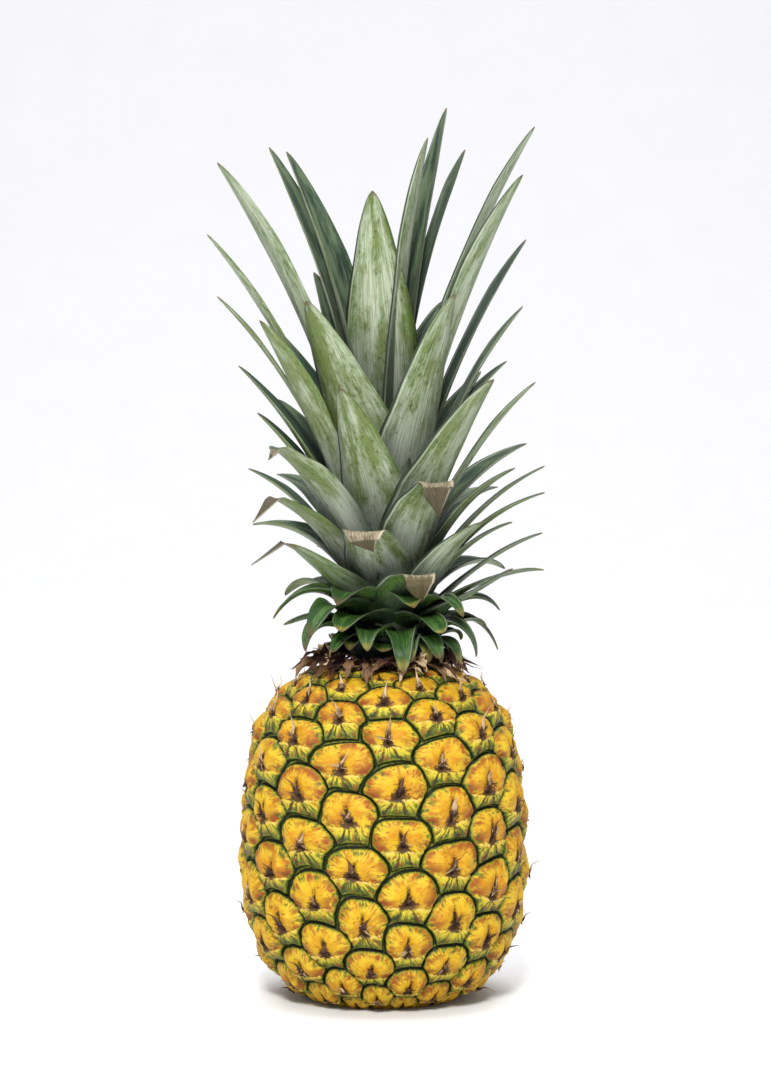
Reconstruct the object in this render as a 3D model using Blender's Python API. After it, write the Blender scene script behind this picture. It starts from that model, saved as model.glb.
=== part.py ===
"""A whole pineapple that stands on its cut base, with its crown of leaves.

Lengths are in millimetres up to add_object, which turns them into metres.
+Z is up, the front faces -Y, and the origin is the middle of the cut base.
"""

import math
import random

import bmesh
import bpy
import numpy as np
from mathutils import Vector

MM = 0.001

# Fruit outline: height and radius of the smooth skin, under the relief of the eyes
OUTLINE = [
    (-8.0, 8.0), (0.0, 29.0), (8.0, 42.5), (18.0, 50.5), (32.0, 57.2), (50.0, 60.4), (68.0, 60.6),
    (90.0, 59.2), (108.0, 57.0), (120.0, 53.6), (130.0, 47.8), (138.0, 40.6), (144.0, 32.5), (149.0, 20.0),
]
BASE_CUT = 0.0
NECK_CUT = 144.8
WORK_REACH = 90.0

# Eyes: a spiral lattice with 8 and 9 rows winding the two ways and 17 standing columns
DIVERGENCE = 42.205
RISE = 1.283
LEFT_STEP = 8
RIGHT_STEP = 9
COLUMN_STEP = LEFT_STEP + RIGHT_STEP
REFERENCE_ANGLE = 5.1
REFERENCE_HEIGHT = 99.1
EYES_BELOW = 80
EYES_ABOVE = 44
FRONT_SPREAD = 2.1
FRONT_SPREAD_GROWTH = 0.21
ARCH = 0.10
ARCHED_SIDES = (0, 4, 5)

# Relief of one eye
CREVICE_DEPTH = 1.0
SHOULDER_INSET = 0.80
SHOULDER_LIFT = 2.3
BRACT_ROOT_INSET = 0.17
BRACT_ROOT_LIFT = 3.3
BRACT_TIP_LIFT = 6.6
BRACT_TIP_UP = 5.0
LAST_SPINY_EYE = 24
FIRST_FULL_EYE = -72
RELIEF_FADE = 22.0
LEAST_RELIEF = 0.3

# Stalk stub in its socket, with the gap that separate solids keep
GAP = 0.3
STALK_RADIUS = 12.0
STALK_DEPTH = 7.0
STALK_SIDES = 24

# Neck: a short disc between the fruit and the crown, with dry bracts round it
NECK_TOP = 149.0
NECK_RADIUS = 15.0
NECK_BRACTS = 13
NECK_ROOT_DROP = 2.6
NECK_TIP_DROP = 3.3
NECK_REACH = (29.0, 35.0)
NECK_BRACT_WIDTH = 8.0
NECK_BRACT_BOW = 4.0
NECK_BRACT_TURN = 6.0

# Crown: a leafy stem that leans a little, with blades of an even thickness
STEM_BOTTOM = NECK_TOP + GAP
STEM_TOP = 238.0
STEM_BOTTOM_RADIUS = 22.0
STEM_TOP_RADIUS = 6.0
STEM_SIDES = 14
STEM_OFFSET = 2.0
STEM_LEAN = -0.026
BLADE_THICKNESS = 0.8
TIP_HALF_WIDTH = 0.45
TIP_TAPER = 0.62
TIP_LENGTH = 2.0
ROOT_WIDTH = 0.55
ROOT_LENGTH = 0.3
ROOT_SINK = 0.6
ROOT_CHANNEL = 58.0
BLADE_CHANNEL = 36.0
CHANNEL_LENGTH = 0.6
HANDLE_LENGTH = 0.36
TIP_BOW = 1.3
FOLD_RADIUS = 1.7
FOLD_TURN = 162.0
FOLD_KNEE = 0.55
LONG_STEPS = (0.0, 0.3, 0.58, 0.84, 1.0)
SHORT_STEPS = (0.0, 0.3, 0.65, 1.0)
LONG_ROOT = 158.5

# Leaves that show from the front. Each row gives the tip's place to the right, to the front and up, the
# root's height, the width, the bow in degrees, the turn of the root in degrees and the folded tip's length
SEEN_LEAVES = [
    # Inner leaves at the top
    (27.5, -18.0, 391.0, 222.0, 14.0, 5.0, 10.0, 0.0),
    (19.0, -6.0, 377.0, 219.0, 22.0, 5.0, 6.0, 0.0),
    (-5.0, 16.0, 353.8, 206.0, 31.0, 6.0, 0.0, 0.0),
    (-50.9, -28.0, 374.1, 216.0, 18.0, 9.0, 0.0, 0.0),
    (-42.8, -12.0, 371.7, 218.0, 25.0, 9.0, 0.0, 0.0),
    (35.7, -20.0, 372.8, 222.0, 8.0, 9.0, 20.0, 0.0),
    (64.9, 17.0, 381.3, 214.0, 15.0, 8.0, 0.0, 0.0),
    (-71.3, 28.0, 365.5, 206.0, 20.0, 9.0, 0.0, 0.0),
    (59.2, 34.0, 360.3, 205.0, 22.0, 8.0, 0.0, 0.0),
    # Leaves of the upper ring
    (-76.1, 20.0, 335.0, 197.0, 17.0, 9.0, 0.0, 0.0),
    (62.6, -16.0, 333.3, 200.0, 12.0, 9.0, 0.0, 0.0),
    (30.3, 34.0, 309.6, 190.0, 32.0, 8.0, -12.0, 0.0),
    (-33.3, 34.0, 306.6, 189.0, 36.0, 9.0, 25.0, 0.0),
    (-72.4, 8.0, 308.3, 193.0, 12.0, 11.0, 0.0, 0.0),
    (61.1, -14.0, 303.9, 196.0, 10.0, 10.0, 0.0, 0.0),
    (-53.2, 32.0, 298.2, 183.0, 19.0, 10.0, 0.0, 0.0),
    # Leaves of the middle ring
    (-64.1, -14.0, 277.8, 181.0, 18.0, 12.0, 0.0, 0.0),
    (54.4, -24.0, 279.6, 186.0, 12.0, 18.0, 0.0, 0.0),
    (46.9, 38.0, 273.2, 180.0, 29.0, 11.0, -12.0, 0.0),
    (65.8, 10.0, 271.2, 178.0, 13.0, 12.0, 0.0, 0.0),
    (-18.9, 42.0, 269.7, 177.0, 35.0, 10.0, 18.0, 0.0),
    (-55.5, -2.0, 257.5, 173.0, 17.0, 13.0, 0.0, 0.0),
    (-44.5, 36.0, 243.3, 171.0, 25.0, 15.0, 14.0, 5.0),
    (-60.0, -18.0, 232.2, 171.0, 9.0, 19.0, 0.0, 0.0),
    (57.0, 10.0, 233.8, 169.0, 17.0, 20.0, 0.0, 0.0),
    (70.4, 0.0, 234.2, 170.0, 10.0, 16.0, 0.0, 0.0),
    (21.5, 44.0, 228.5, 168.0, 28.0, 14.0, 0.0, 15.0),
    (69.7, 16.0, 223.5, 166.0, 11.0, 20.0, 0.0, 0.0),
    # Leaves of the lower ring, some with tips that dried and folded over
    (-46.0, 24.0, 221.0, 165.0, 21.0, 20.0, 12.0, 17.0),
    (42.1, 40.0, 212.3, 163.0, 24.0, 14.0, 0.0, 0.0),
    (-8.3, 48.0, 208.3, 163.0, 30.0, 20.0, 0.0, 9.0),
    (55.7, 14.0, 210.1, 162.0, 15.0, 22.0, 0.0, 0.0),
    (69.7, -4.0, 202.7, 161.0, 10.0, 16.0, 0.0, 0.0),
    (-43.0, 10.0, 199.0, 160.0, 19.0, 20.0, 0.0, 17.0),
    (-40.4, 34.0, 199.0, 160.0, 26.0, 18.0, 10.0, 0.0),
    (69.3, 20.0, 190.9, 158.0, 12.0, 24.0, 0.0, 0.0),
    (14.5, 48.0, 190.8, 158.0, 29.0, 20.0, 0.0, 14.0),
    (55.3, 34.0, 184.4, 156.0, 19.0, 18.0, 0.0, 0.0),
    # Short leaves at the bottom, which spread and curl down
    (-48.0, 20.0, 172.4, 157.0, 23.0, 40.0, 0.0, 0.0),
    (-20.0, 42.0, 177.0, 157.0, 29.0, 30.0, 0.0, 8.0),
    (13.0, 44.0, 174.5, 157.0, 29.0, 28.0, 0.0, 11.0),
    (50.2, 20.0, 167.0, 157.0, 20.0, 34.0, 0.0, 0.0),
    (-18.0, 41.0, 160.0, 156.0, 30.0, 44.0, 0.0, 0.0),
    (-34.0, 24.0, 153.0, 155.5, 22.0, 52.0, 0.0, 0.0),
    (40.0, 24.0, 152.5, 155.5, 20.0, 52.0, 0.0, 0.0),
    (-7.0, 40.0, 150.6, 155.0, 24.0, 50.0, 0.0, 0.0),
    (8.0, 40.0, 151.0, 155.0, 22.0, 50.0, 0.0, 0.0),
    (25.0, 38.0, 157.0, 156.0, 26.0, 46.0, 0.0, 0.0),
    (-44.0, 4.0, 160.0, 156.0, 21.0, 44.0, 0.0, 0.0),
    (45.0, -2.0, 158.0, 156.0, 20.0, 46.0, 0.0, 0.0),
    (-32.0, 34.0, 166.0, 157.0, 24.0, 38.0, 0.0, 0.0),
    (34.0, 34.0, 170.0, 157.0, 22.0, 36.0, 0.0, 0.0),
    (24.0, 32.0, 150.6, 154.0, 20.0, 54.0, 0.0, 0.0),
    (-22.0, 34.0, 151.0, 154.0, 20.0, 54.0, 0.0, 0.0),
]

# Leaves of the far side, placed by the golden angle from the lowest to the innermost
FAR_LEAVES = 26
FAR_ARC = 74.0
GOLDEN_TURN = 0.618034
FAR_SEED = 5
FAR_ROOTS = (155.5, 219.5)
FAR_RISES = (-5.0, 107.0)
FAR_REACH = 38.0
FAR_REACH_SWELL = 28.0
FAR_REACH_LOSS = 16.0
FAR_WIDTH = 20.0
FAR_WIDTH_SWELL = 10.0
FAR_WIDTH_CHANGE = 2.0
FAR_BOWS = (50.0, 8.0)
FAR_BOW_LENGTH = 0.625

SKIN_COLOUR = (0.80, 0.50, 0.06)
STALK_COLOUR = (0.55, 0.42, 0.22)
BRACT_COLOUR = (0.30, 0.17, 0.08)
LEAF_COLOUR = (0.16, 0.27, 0.12)


def clear_scene():
    """Removes whatever the opened file holds."""
    for thing in list(bpy.data.objects):
        bpy.data.objects.remove(thing, do_unlink=True)


def plain_material(name, colour, roughness):
    """A Principled surface of one colour."""
    material = bpy.data.materials.new(name)
    material.use_nodes = True
    shader = material.node_tree.nodes["Principled BSDF"]
    shader.inputs["Base Color"].default_value = (*colour, 1.0)
    shader.inputs["Roughness"].default_value = roughness
    shader.inputs["Metallic"].default_value = 0.0
    return material


def add_object(name, body, material=None):
    """Makes an object from a bmesh in millimetres and frees the bmesh."""
    bmesh.ops.scale(body, vec=(MM, MM, MM), verts=body.verts)
    bmesh.ops.recalc_face_normals(body, faces=body.faces)
    mesh = bpy.data.meshes.new(name)
    body.to_mesh(mesh)
    body.free()
    thing = bpy.data.objects.new(name, mesh)
    bpy.context.scene.collection.objects.link(thing)
    if material:
        mesh.materials.append(material)
    return thing


def smooth_outline(stations, steps=12):
    """A Catmull-Rom curve through the stations, as an array of heights and radii."""
    points = [Vector(station) for station in stations]
    points = [2 * points[0] - points[1]] + points + [2 * points[-1] - points[-2]]
    curve = []
    for before, start, end, after in zip(points, points[1:], points[2:], points[3:]):
        for step in range(steps):
            u = step / steps
            bend = 2 * before - 5 * start + 4 * end - after
            twist = 3 * start - before - 3 * end + after
            curve.append(0.5 * (2 * start + u * (end - before) + u * u * bend + u ** 3 * twist))
    curve.append(points[-2])
    return np.array(curve)


class Skin:
    """The fruit's surface by angle round it and by swirl height.

    Swirl height is the length along the outline divided by the radius, in degrees, so that a lattice
    that is even in angle and swirl height keeps its cells' shape where the fruit narrows.
    """

    def __init__(self):
        curve = smooth_outline(OUTLINE)
        step = np.diff(curve, axis=0)
        length = np.hypot(step[:, 0], step[:, 1])
        middle = 0.5 * (curve[1:, 1] + curve[:-1, 1])
        self.swirl = np.concatenate([[0.0], np.cumsum(np.degrees(length / middle))])
        self.height = curve[:, 0]
        self.radius = curve[:, 1]
        slope = np.gradient(curve, axis=0)
        slope /= np.linalg.norm(slope, axis=1)[:, None]
        self.out_round = slope[:, 0]
        self.out_up = -slope[:, 1]
        self.reference = float(np.interp(REFERENCE_HEIGHT, self.height, self.swirl))

    def point(self, angle, swirl, lift=0.0, up=0.0):
        """The place at an angle and swirl height, lifted off the skin and moved up along it."""
        radius = np.interp(swirl, self.swirl, self.radius)
        height = np.interp(swirl, self.swirl, self.height)
        out_round = np.interp(swirl, self.swirl, self.out_round)
        out_up = np.interp(swirl, self.swirl, self.out_up)
        radius += lift * out_round - up * out_up
        height += lift * out_up + up * out_round
        turns = (swirl - self.reference) / RISE
        spread = (FRONT_SPREAD + FRONT_SPREAD_GROWTH * turns) * math.sin(math.radians(angle))
        turned = math.radians(angle + spread)
        return Vector((radius * math.sin(turned), -radius * math.cos(turned), height))


def eye_centre(number, skin):
    """Angle and swirl height of one eye. Eye 0 is the reference, at the front."""
    return np.array((REFERENCE_ANGLE + DIVERGENCE * number, skin.reference + RISE * number))


def eye_corner(kind, number, skin):
    """Where three cells meet: left is between an eye, its left row and its column, and right likewise."""
    step = LEFT_STEP if kind == "left" else RIGHT_STEP
    sideways = DIVERGENCE * step - 360.0
    column = DIVERGENCE * COLUMN_STEP - 720.0
    shift = np.array(((sideways + column) / 3, RISE * (step + COLUMN_STEP) / 3))
    return eye_centre(number, skin) + shift


def cell_corners(number):
    """Names of an eye's six corners, clockwise from the top right."""
    return [
        ("right", number), ("left", number - LEFT_STEP), ("right", number - COLUMN_STEP),
        ("left", number - COLUMN_STEP), ("right", number - RIGHT_STEP), ("left", number),
    ]


def near(angle, centre):
    """The same direction, with whole turns added so that it lies near a centre."""
    return angle + 360.0 * round((centre - angle) / 360.0)


def cell_outline(number, skin):
    """Twelve named points round an eye: its corners, and the middle of each side bowed into an arch."""
    centre = eye_centre(number, skin)
    names = cell_corners(number)
    places = []
    for kind, owner in names:
        place = eye_corner(kind, owner, skin)
        places.append(np.array((near(place[0], centre[0]), place[1])))
    outline = []
    for side in range(6):
        following = (side + 1) % 6
        middle = (places[side] + places[following]) / 2
        if side in ARCHED_SIDES:
            middle = middle + ARCH * (middle - centre)
        else:
            opposite = 2 * middle - centre
            middle = middle + ARCH * (middle - opposite)
        outline.append((names[side], places[side]))
        outline.append((frozenset((names[side], names[following])), middle))
    return centre, outline


def relief_of(number):
    """Strength of an eye's relief, which fades where the fruit was cut and under the crown."""
    beyond = max(number - LAST_SPINY_EYE, FIRST_FULL_EYE - number, 0)
    return max(LEAST_RELIEF, 1.0 - beyond / RELIEF_FADE)


def outline_vertex(body, skin, shared, name, place, relief):
    """The vertex of a crevice point, which neighbouring cells share."""
    if name not in shared:
        shared[name] = body.verts.new(skin.point(near(place[0], 0.0), place[1], -CREVICE_DEPTH * relief))
    return shared[name]


def add_plain_cell(body, skin, number, shared):
    """Adds a cell with no eye in it, where the skin runs in under the crown or to the stalk."""
    centre, outline = cell_outline(number, skin)
    relief = relief_of(number)
    edge = [outline_vertex(body, skin, shared, name, place, relief) for name, place in outline]
    middle = body.verts.new(skin.point(near(centre[0], 0.0), centre[1]))
    for first, second in zip(edge, edge[1:] + edge[:1]):
        body.faces.new((first, second, middle))


def add_eye(body, skin, number, shared):
    """Adds one eye: crevice, swollen shoulder, and the bract that stands out of its middle."""
    centre, outline = cell_outline(number, skin)
    relief = relief_of(number)
    edge = []
    shoulder = []
    for name, place in outline:
        edge.append(outline_vertex(body, skin, shared, name, place, relief))
        inner = centre + SHOULDER_INSET * (place - centre)
        shoulder.append(body.verts.new(skin.point(near(inner[0], 0.0), inner[1], SHOULDER_LIFT * relief)))
    root = []
    for name, place in outline[::2]:
        inner = centre + BRACT_ROOT_INSET * (place - centre)
        root.append(body.verts.new(skin.point(near(inner[0], 0.0), inner[1], BRACT_ROOT_LIFT * relief)))
    spine = relief ** 2
    tip_lift = BRACT_ROOT_LIFT * relief + (BRACT_TIP_LIFT - BRACT_ROOT_LIFT) * spine
    tip = body.verts.new(skin.point(near(centre[0], 0.0), centre[1], tip_lift, BRACT_TIP_UP * spine))
    for index in range(12):
        following = (index + 1) % 12
        body.faces.new((edge[index], edge[following], shoulder[following], shoulder[index]))
    for index in range(6):
        following = (index + 1) % 6
        first, second, third = shoulder[2 * index], shoulder[2 * index + 1], shoulder[(2 * index + 2) % 12]
        body.faces.new((first, second, root[index]))
        body.faces.new((second, third, root[following]))
        body.faces.new((second, root[following], root[index]))
        body.faces.new((root[index], root[following], tip))


def close_ends(body):
    """Closes the open rims of the lattice with a fan to the axis, beyond the level cuts."""
    rim = [edge for edge in body.edges if edge.is_boundary]
    below = body.verts.new((0.0, 0.0, OUTLINE[0][0]))
    above = body.verts.new((0.0, 0.0, OUTLINE[-1][0]))
    for edge in rim:
        first, second = edge.verts
        apex = below if first.co.z < REFERENCE_HEIGHT else above
        body.faces.new((first, second, apex))
    bmesh.ops.recalc_face_normals(body, faces=body.faces)
    bmesh.ops.triangulate(body, faces=body.faces)


def box_body(half_side, bottom, top):
    """A closed box round the axis between two heights."""
    body = bmesh.new()
    bmesh.ops.create_cube(body, size=1.0)
    bmesh.ops.scale(body, vec=(2 * half_side, 2 * half_side, top - bottom), verts=body.verts)
    bmesh.ops.translate(body, vec=(0, 0, (top + bottom) / 2), verts=body.verts)
    return body


def cylinder_body(radius, bottom, top, sides=STALK_SIDES, top_radius=None):
    """A closed cone or cylinder between two heights."""
    body = bmesh.new()
    bmesh.ops.create_cone(
        body, cap_ends=True, segments=sides, radius1=radius,
        radius2=radius if top_radius is None else top_radius, depth=top - bottom)
    bmesh.ops.translate(body, vec=(0, 0, (top + bottom) / 2), verts=body.verts)
    return body


def bake_modifiers(thing):
    """Replaces an object's mesh by the mesh that its modifiers make."""
    depsgraph = bpy.context.evaluated_depsgraph_get()
    mesh = bpy.data.meshes.new_from_object(thing.evaluated_get(depsgraph))
    thing.modifiers.clear()
    thing.data = mesh


def boolean_object(thing, operation, other):
    """Joins or cuts an object with another, which is then removed."""
    modifier = thing.modifiers.new("boolean", "BOOLEAN")
    modifier.operation = operation
    modifier.solver = "EXACT"
    modifier.object = other
    bake_modifiers(thing)
    bpy.data.objects.remove(other, do_unlink=True)


def fuse_collection(thing, blades):
    """Joins an object with loose blades in one Boolean union on a collection, then removes the blades."""
    gathered = bpy.data.collections.new("blades")
    for blade in blades:
        bpy.context.scene.collection.objects.unlink(blade)
        gathered.objects.link(blade)
    bpy.context.scene.collection.children.link(gathered)
    modifier = thing.modifiers.new("union", "BOOLEAN")
    modifier.operation = "UNION"
    modifier.solver = "EXACT"
    modifier.operand_type = "COLLECTION"
    modifier.collection = gathered
    bake_modifiers(thing)
    for blade in list(gathered.objects):
        bpy.data.objects.remove(blade, do_unlink=True)
    bpy.data.collections.remove(gathered)
    keep_outer_skin(thing)


def keep_outer_skin(thing):
    """Fills sealed hollows and drops scraps: only the largest connected surface stays."""
    body = bmesh.new()
    body.from_mesh(thing.data)
    islands = []
    left = set(body.faces)
    while left:
        island = {left.pop()}
        edge_of_island = list(island)
        while edge_of_island:
            face = edge_of_island.pop()
            for edge in face.edges:
                for other in edge.link_faces:
                    if other in left:
                        left.remove(other)
                        island.add(other)
                        edge_of_island.append(other)
        islands.append(island)
    islands.sort(key=len, reverse=True)
    for island in islands[1:]:
        bmesh.ops.delete(body, geom=list(island), context="FACES")
    bmesh.ops.triangulate(body, faces=body.faces)
    body.to_mesh(thing.data)
    body.free()


def stem_middle(height):
    """Where the leaning stem's axis is at a height."""
    return Vector((STEM_OFFSET + STEM_LEAN * (height - STEM_BOTTOM), 0.0, height))


def stem_radius(height):
    """Radius of the stem at a height."""
    share = min(max((height - STEM_BOTTOM) / (STEM_TOP - STEM_BOTTOM), 0.0), 1.0)
    return STEM_BOTTOM_RADIUS + (STEM_TOP_RADIUS - STEM_BOTTOM_RADIUS) * share


def outward(azimuth):
    """Level direction away from the axis. 0 degrees is the front and 90 is the right."""
    return Vector((math.sin(math.radians(azimuth)), -math.cos(math.radians(azimuth)), 0.0))


def leaf_course(row):
    """The two ends and the two handles of a leaf's centre line, with its azimuths at root and tip."""
    right, front, up, root_up, width, bow, turn, fold = row
    tip = Vector((right, -front, up))
    offset = tip - stem_middle(up)
    tip_azimuth = math.degrees(math.atan2(offset.x, -offset.y))
    root_azimuth = tip_azimuth + turn
    root = stem_middle(root_up) + outward(root_azimuth) * stem_radius(root_up) * ROOT_SINK
    chord = tip - root
    lean = math.atan2(math.hypot(chord.x, chord.y), chord.z)
    start_lean = lean - math.radians(bow)
    end_lean = lean + math.radians(bow) * TIP_BOW
    start = outward(root_azimuth) * math.sin(start_lean) + Vector((0, 0, math.cos(start_lean)))
    level = outward(tip_azimuth)
    end = level * math.sin(end_lean) + Vector((0, 0, math.cos(end_lean)))
    handle = chord.length * HANDLE_LENGTH
    return (root, root + start * handle, tip - end * handle, tip), root_azimuth, tip_azimuth


def bezier(ends, u):
    """A point of a cubic Bezier curve."""
    a, b, c, d = ends
    v = 1 - u
    return v ** 3 * a + 3 * v * v * u * b + 3 * v * u * u * c + u ** 3 * d


def leaf_line(row, steps):
    """Centre line of a leaf from root to tip, with the fold of a tip that hangs over, and its azimuths."""
    ends, root_azimuth, tip_azimuth = leaf_course(row)
    fold = row[7]
    line = [bezier(ends, u) for u in steps]
    if fold:
        direction = (ends[3] - ends[2]).normalized()
        side = direction.cross(outward(tip_azimuth)).normalized()
        down = side.cross(direction).normalized()
        down = -down if down.dot(outward(tip_azimuth)) < 0 else down
        centre = line[-1] + down * FOLD_RADIUS
        for part in (0.5, 1.0):
            angle = math.radians(FOLD_TURN * part)
            turned = direction * math.sin(angle) - down * math.cos(angle)
            line.append(centre + turned * FOLD_RADIUS)
        angle = math.radians(FOLD_TURN)
        hanging = direction * math.cos(angle) + down * math.sin(angle)
        line.append(line[-1] + hanging * fold * FOLD_KNEE)
        line.append(line[-2] + hanging * fold)
    return line, root_azimuth, tip_azimuth


def half_width(row, to_tip, share):
    """Half the width of a blade at a distance from its tip and at a share of its length from the root."""
    width = row[4]
    taper = min(1.0, to_tip / (TIP_LENGTH * width)) ** TIP_TAPER
    base = ROOT_WIDTH + (1.0 - ROOT_WIDTH) * min(1.0, share / ROOT_LENGTH)
    return max(TIP_HALF_WIDTH, width / 2 * taper * base)


def channel(share):
    """Half the angle of the arc that a blade's cross-section follows."""
    return math.radians(ROOT_CHANNEL + (BLADE_CHANNEL - ROOT_CHANNEL) * min(1.0, share / CHANNEL_LENGTH))


def leaf_sections(row, steps, across):
    """For each place along a blade, its points across with the direction of its thickness."""
    line, root_azimuth, tip_azimuth = leaf_line(row, steps)
    lengths = [0.0]
    for first, second in zip(line, line[1:]):
        lengths.append(lengths[-1] + (second - first).length)
    sections = []
    for index, middle in enumerate(line):
        before = line[max(index - 1, 0)]
        after = line[min(index + 1, len(line) - 1)]
        along = (after - before).normalized()
        share = lengths[index] / lengths[-1]
        azimuth = root_azimuth + (tip_azimuth - root_azimuth) * share
        side = outward(azimuth + 90.0)
        side = (side - along * side.dot(along)).normalized()
        inner = along.cross(side)
        half = half_width(row, lengths[-1] - lengths[index], share)
        bend = channel(share)
        radius = half / math.sin(bend)
        section = []
        for step in range(across):
            angle = bend * (2 * step / (across - 1) - 1)
            place = middle + side * radius * math.sin(angle) + inner * radius * (1 - math.cos(angle))
            thick = (inner * math.cos(angle) - side * math.sin(angle)).normalized()
            section.append((place, thick))
        sections.append(section)
    return sections


def blade_body(row, steps, across=3):
    """A closed blade: an outer and an inner face joined along the edges and at both ends."""
    body = bmesh.new()
    outer = []
    inner = []
    for section in leaf_sections(row, steps, across):
        outer.append([body.verts.new(place - thick * BLADE_THICKNESS / 2) for place, thick in section])
        inner.append([body.verts.new(place + thick * BLADE_THICKNESS / 2) for place, thick in section])
    last = across - 1
    for lower, upper in zip(range(len(outer)), range(1, len(outer))):
        for column in range(last):
            body.faces.new((outer[lower][column], outer[lower][column + 1],
                            outer[upper][column + 1], outer[upper][column]))
            body.faces.new((inner[lower][column + 1], inner[lower][column],
                            inner[upper][column], inner[upper][column + 1]))
        body.faces.new((outer[lower][last], inner[lower][last], inner[upper][last], outer[upper][last]))
        body.faces.new((inner[lower][0], outer[lower][0], outer[upper][0], inner[upper][0]))
    for column in range(last):
        body.faces.new((outer[0][column + 1], outer[0][column], inner[0][column], inner[0][column + 1]))
        body.faces.new((outer[-1][column], outer[-1][column + 1], inner[-1][column + 1], inner[-1][column]))
    bmesh.ops.triangulate(body, faces=body.faces)
    return body


def far_leaves():
    """Rows for the leaves of the far side, in the same form as the seen ones."""
    draw = random.Random(FAR_SEED)
    rows = []
    for number in range(FAR_LEAVES):
        share = (number + 0.5) / FAR_LEAVES
        turn = (number * GOLDEN_TURN) % 1.0
        azimuth = 180.0 + FAR_ARC * (2 * turn - 1)
        root_up = FAR_ROOTS[0] + (FAR_ROOTS[1] - FAR_ROOTS[0]) * share
        rise = FAR_RISES[0] + (FAR_RISES[1] - FAR_RISES[0]) * share
        swell = math.sin(math.pi * min(1.0, 0.12 + 0.8 * share))
        reach = FAR_REACH + FAR_REACH_SWELL * swell - FAR_REACH_LOSS * share ** 3
        reach *= draw.uniform(0.92, 1.08)
        rise *= draw.uniform(0.95, 1.03)
        width = FAR_WIDTH + FAR_WIDTH_SWELL * math.sin(math.pi * share)
        width += draw.uniform(-FAR_WIDTH_CHANGE, FAR_WIDTH_CHANGE)
        bow = FAR_BOWS[0] + (FAR_BOWS[1] - FAR_BOWS[0]) * min(1.0, share / FAR_BOW_LENGTH)
        up = root_up + rise
        tip = stem_middle(up) + outward(azimuth) * reach
        rows.append((tip.x, -tip.y, up, root_up, width, bow, 0.0, 0.0))
    return rows


def build_fruit():
    """The fruit with its eyes, cut level at the base and at the neck, with a socket for the stalk."""
    skin = Skin()
    body = bmesh.new()
    shared = {}
    for number in range(-EYES_BELOW, EYES_ABOVE + 1):
        add_eye(body, skin, number, shared)
    for number in range(1, 2 * COLUMN_STEP + 1):
        add_plain_cell(body, skin, -EYES_BELOW - number, shared)
        add_plain_cell(body, skin, EYES_ABOVE + number, shared)
    close_ends(body)
    fruit = add_object("fruit", body, plain_material("fruit_skin", SKIN_COLOUR, 0.5))
    slab = add_object("slab", box_body(WORK_REACH, BASE_CUT, NECK_CUT))
    boolean_object(fruit, "INTERSECT", slab)
    socket = cylinder_body(STALK_RADIUS + GAP, BASE_CUT - STALK_DEPTH, STALK_DEPTH + GAP)
    boolean_object(fruit, "DIFFERENCE", add_object("socket", socket))
    keep_outer_skin(fruit)


def build_stalk():
    """The stub of the stalk that carried the fruit, cut level with the base."""
    body = cylinder_body(STALK_RADIUS, BASE_CUT, STALK_DEPTH)
    add_object("stalk", body, plain_material("stalk_wood", STALK_COLOUR, 0.8))


def build_neck():
    """The short neck with its ring of dry bracts, which lie out over the fruit's shoulder."""
    disc = cylinder_body(NECK_RADIUS, NECK_CUT + GAP, NECK_TOP)
    neck = add_object("neck_bracts", disc, plain_material("dry_bract", BRACT_COLOUR, 0.85))
    draw = random.Random(FAR_SEED)
    blades = []
    for number in range(NECK_BRACTS):
        azimuth = 360.0 * (number + 0.5) / NECK_BRACTS + draw.uniform(-NECK_BRACT_TURN, NECK_BRACT_TURN)
        reach = draw.uniform(*NECK_REACH)
        tip = stem_middle(NECK_TOP) + outward(azimuth) * reach
        row = (tip.x, -tip.y, NECK_TOP - NECK_TIP_DROP, NECK_TOP - NECK_ROOT_DROP,
               NECK_BRACT_WIDTH, NECK_BRACT_BOW, 0.0, 0.0)
        blades.append(add_object("bract", blade_body(row, (0.0, 0.5, 1.0))))
    fuse_collection(neck, blades)


def build_crown():
    """The crown: every leaf fused to the leafy stem as one body."""
    core = cylinder_body(STEM_BOTTOM_RADIUS, STEM_BOTTOM, STEM_TOP, STEM_SIDES, STEM_TOP_RADIUS)
    for vertex in core.verts:
        vertex.co.x += stem_middle(vertex.co.z).x
    crown = add_object("crown", core, plain_material("crown_leaf", LEAF_COLOUR, 0.55))
    blades = []
    for row in SEEN_LEAVES + far_leaves():
        steps = SHORT_STEPS if row[7] or row[3] < LONG_ROOT else LONG_STEPS
        blades.append(add_object("leaf", blade_body(row, steps)))
    fuse_collection(crown, blades)


def main():
    clear_scene()
    build_fruit()
    build_stalk()
    build_neck()
    build_crown()


main()
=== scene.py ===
"""Looks of the pineapple: fine skin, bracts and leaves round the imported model.

Lengths are in millimetres up to mesh_object, which turns them into metres.
+Z is up and the front faces -Y.
"""

import math
import random
from collections import namedtuple

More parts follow.
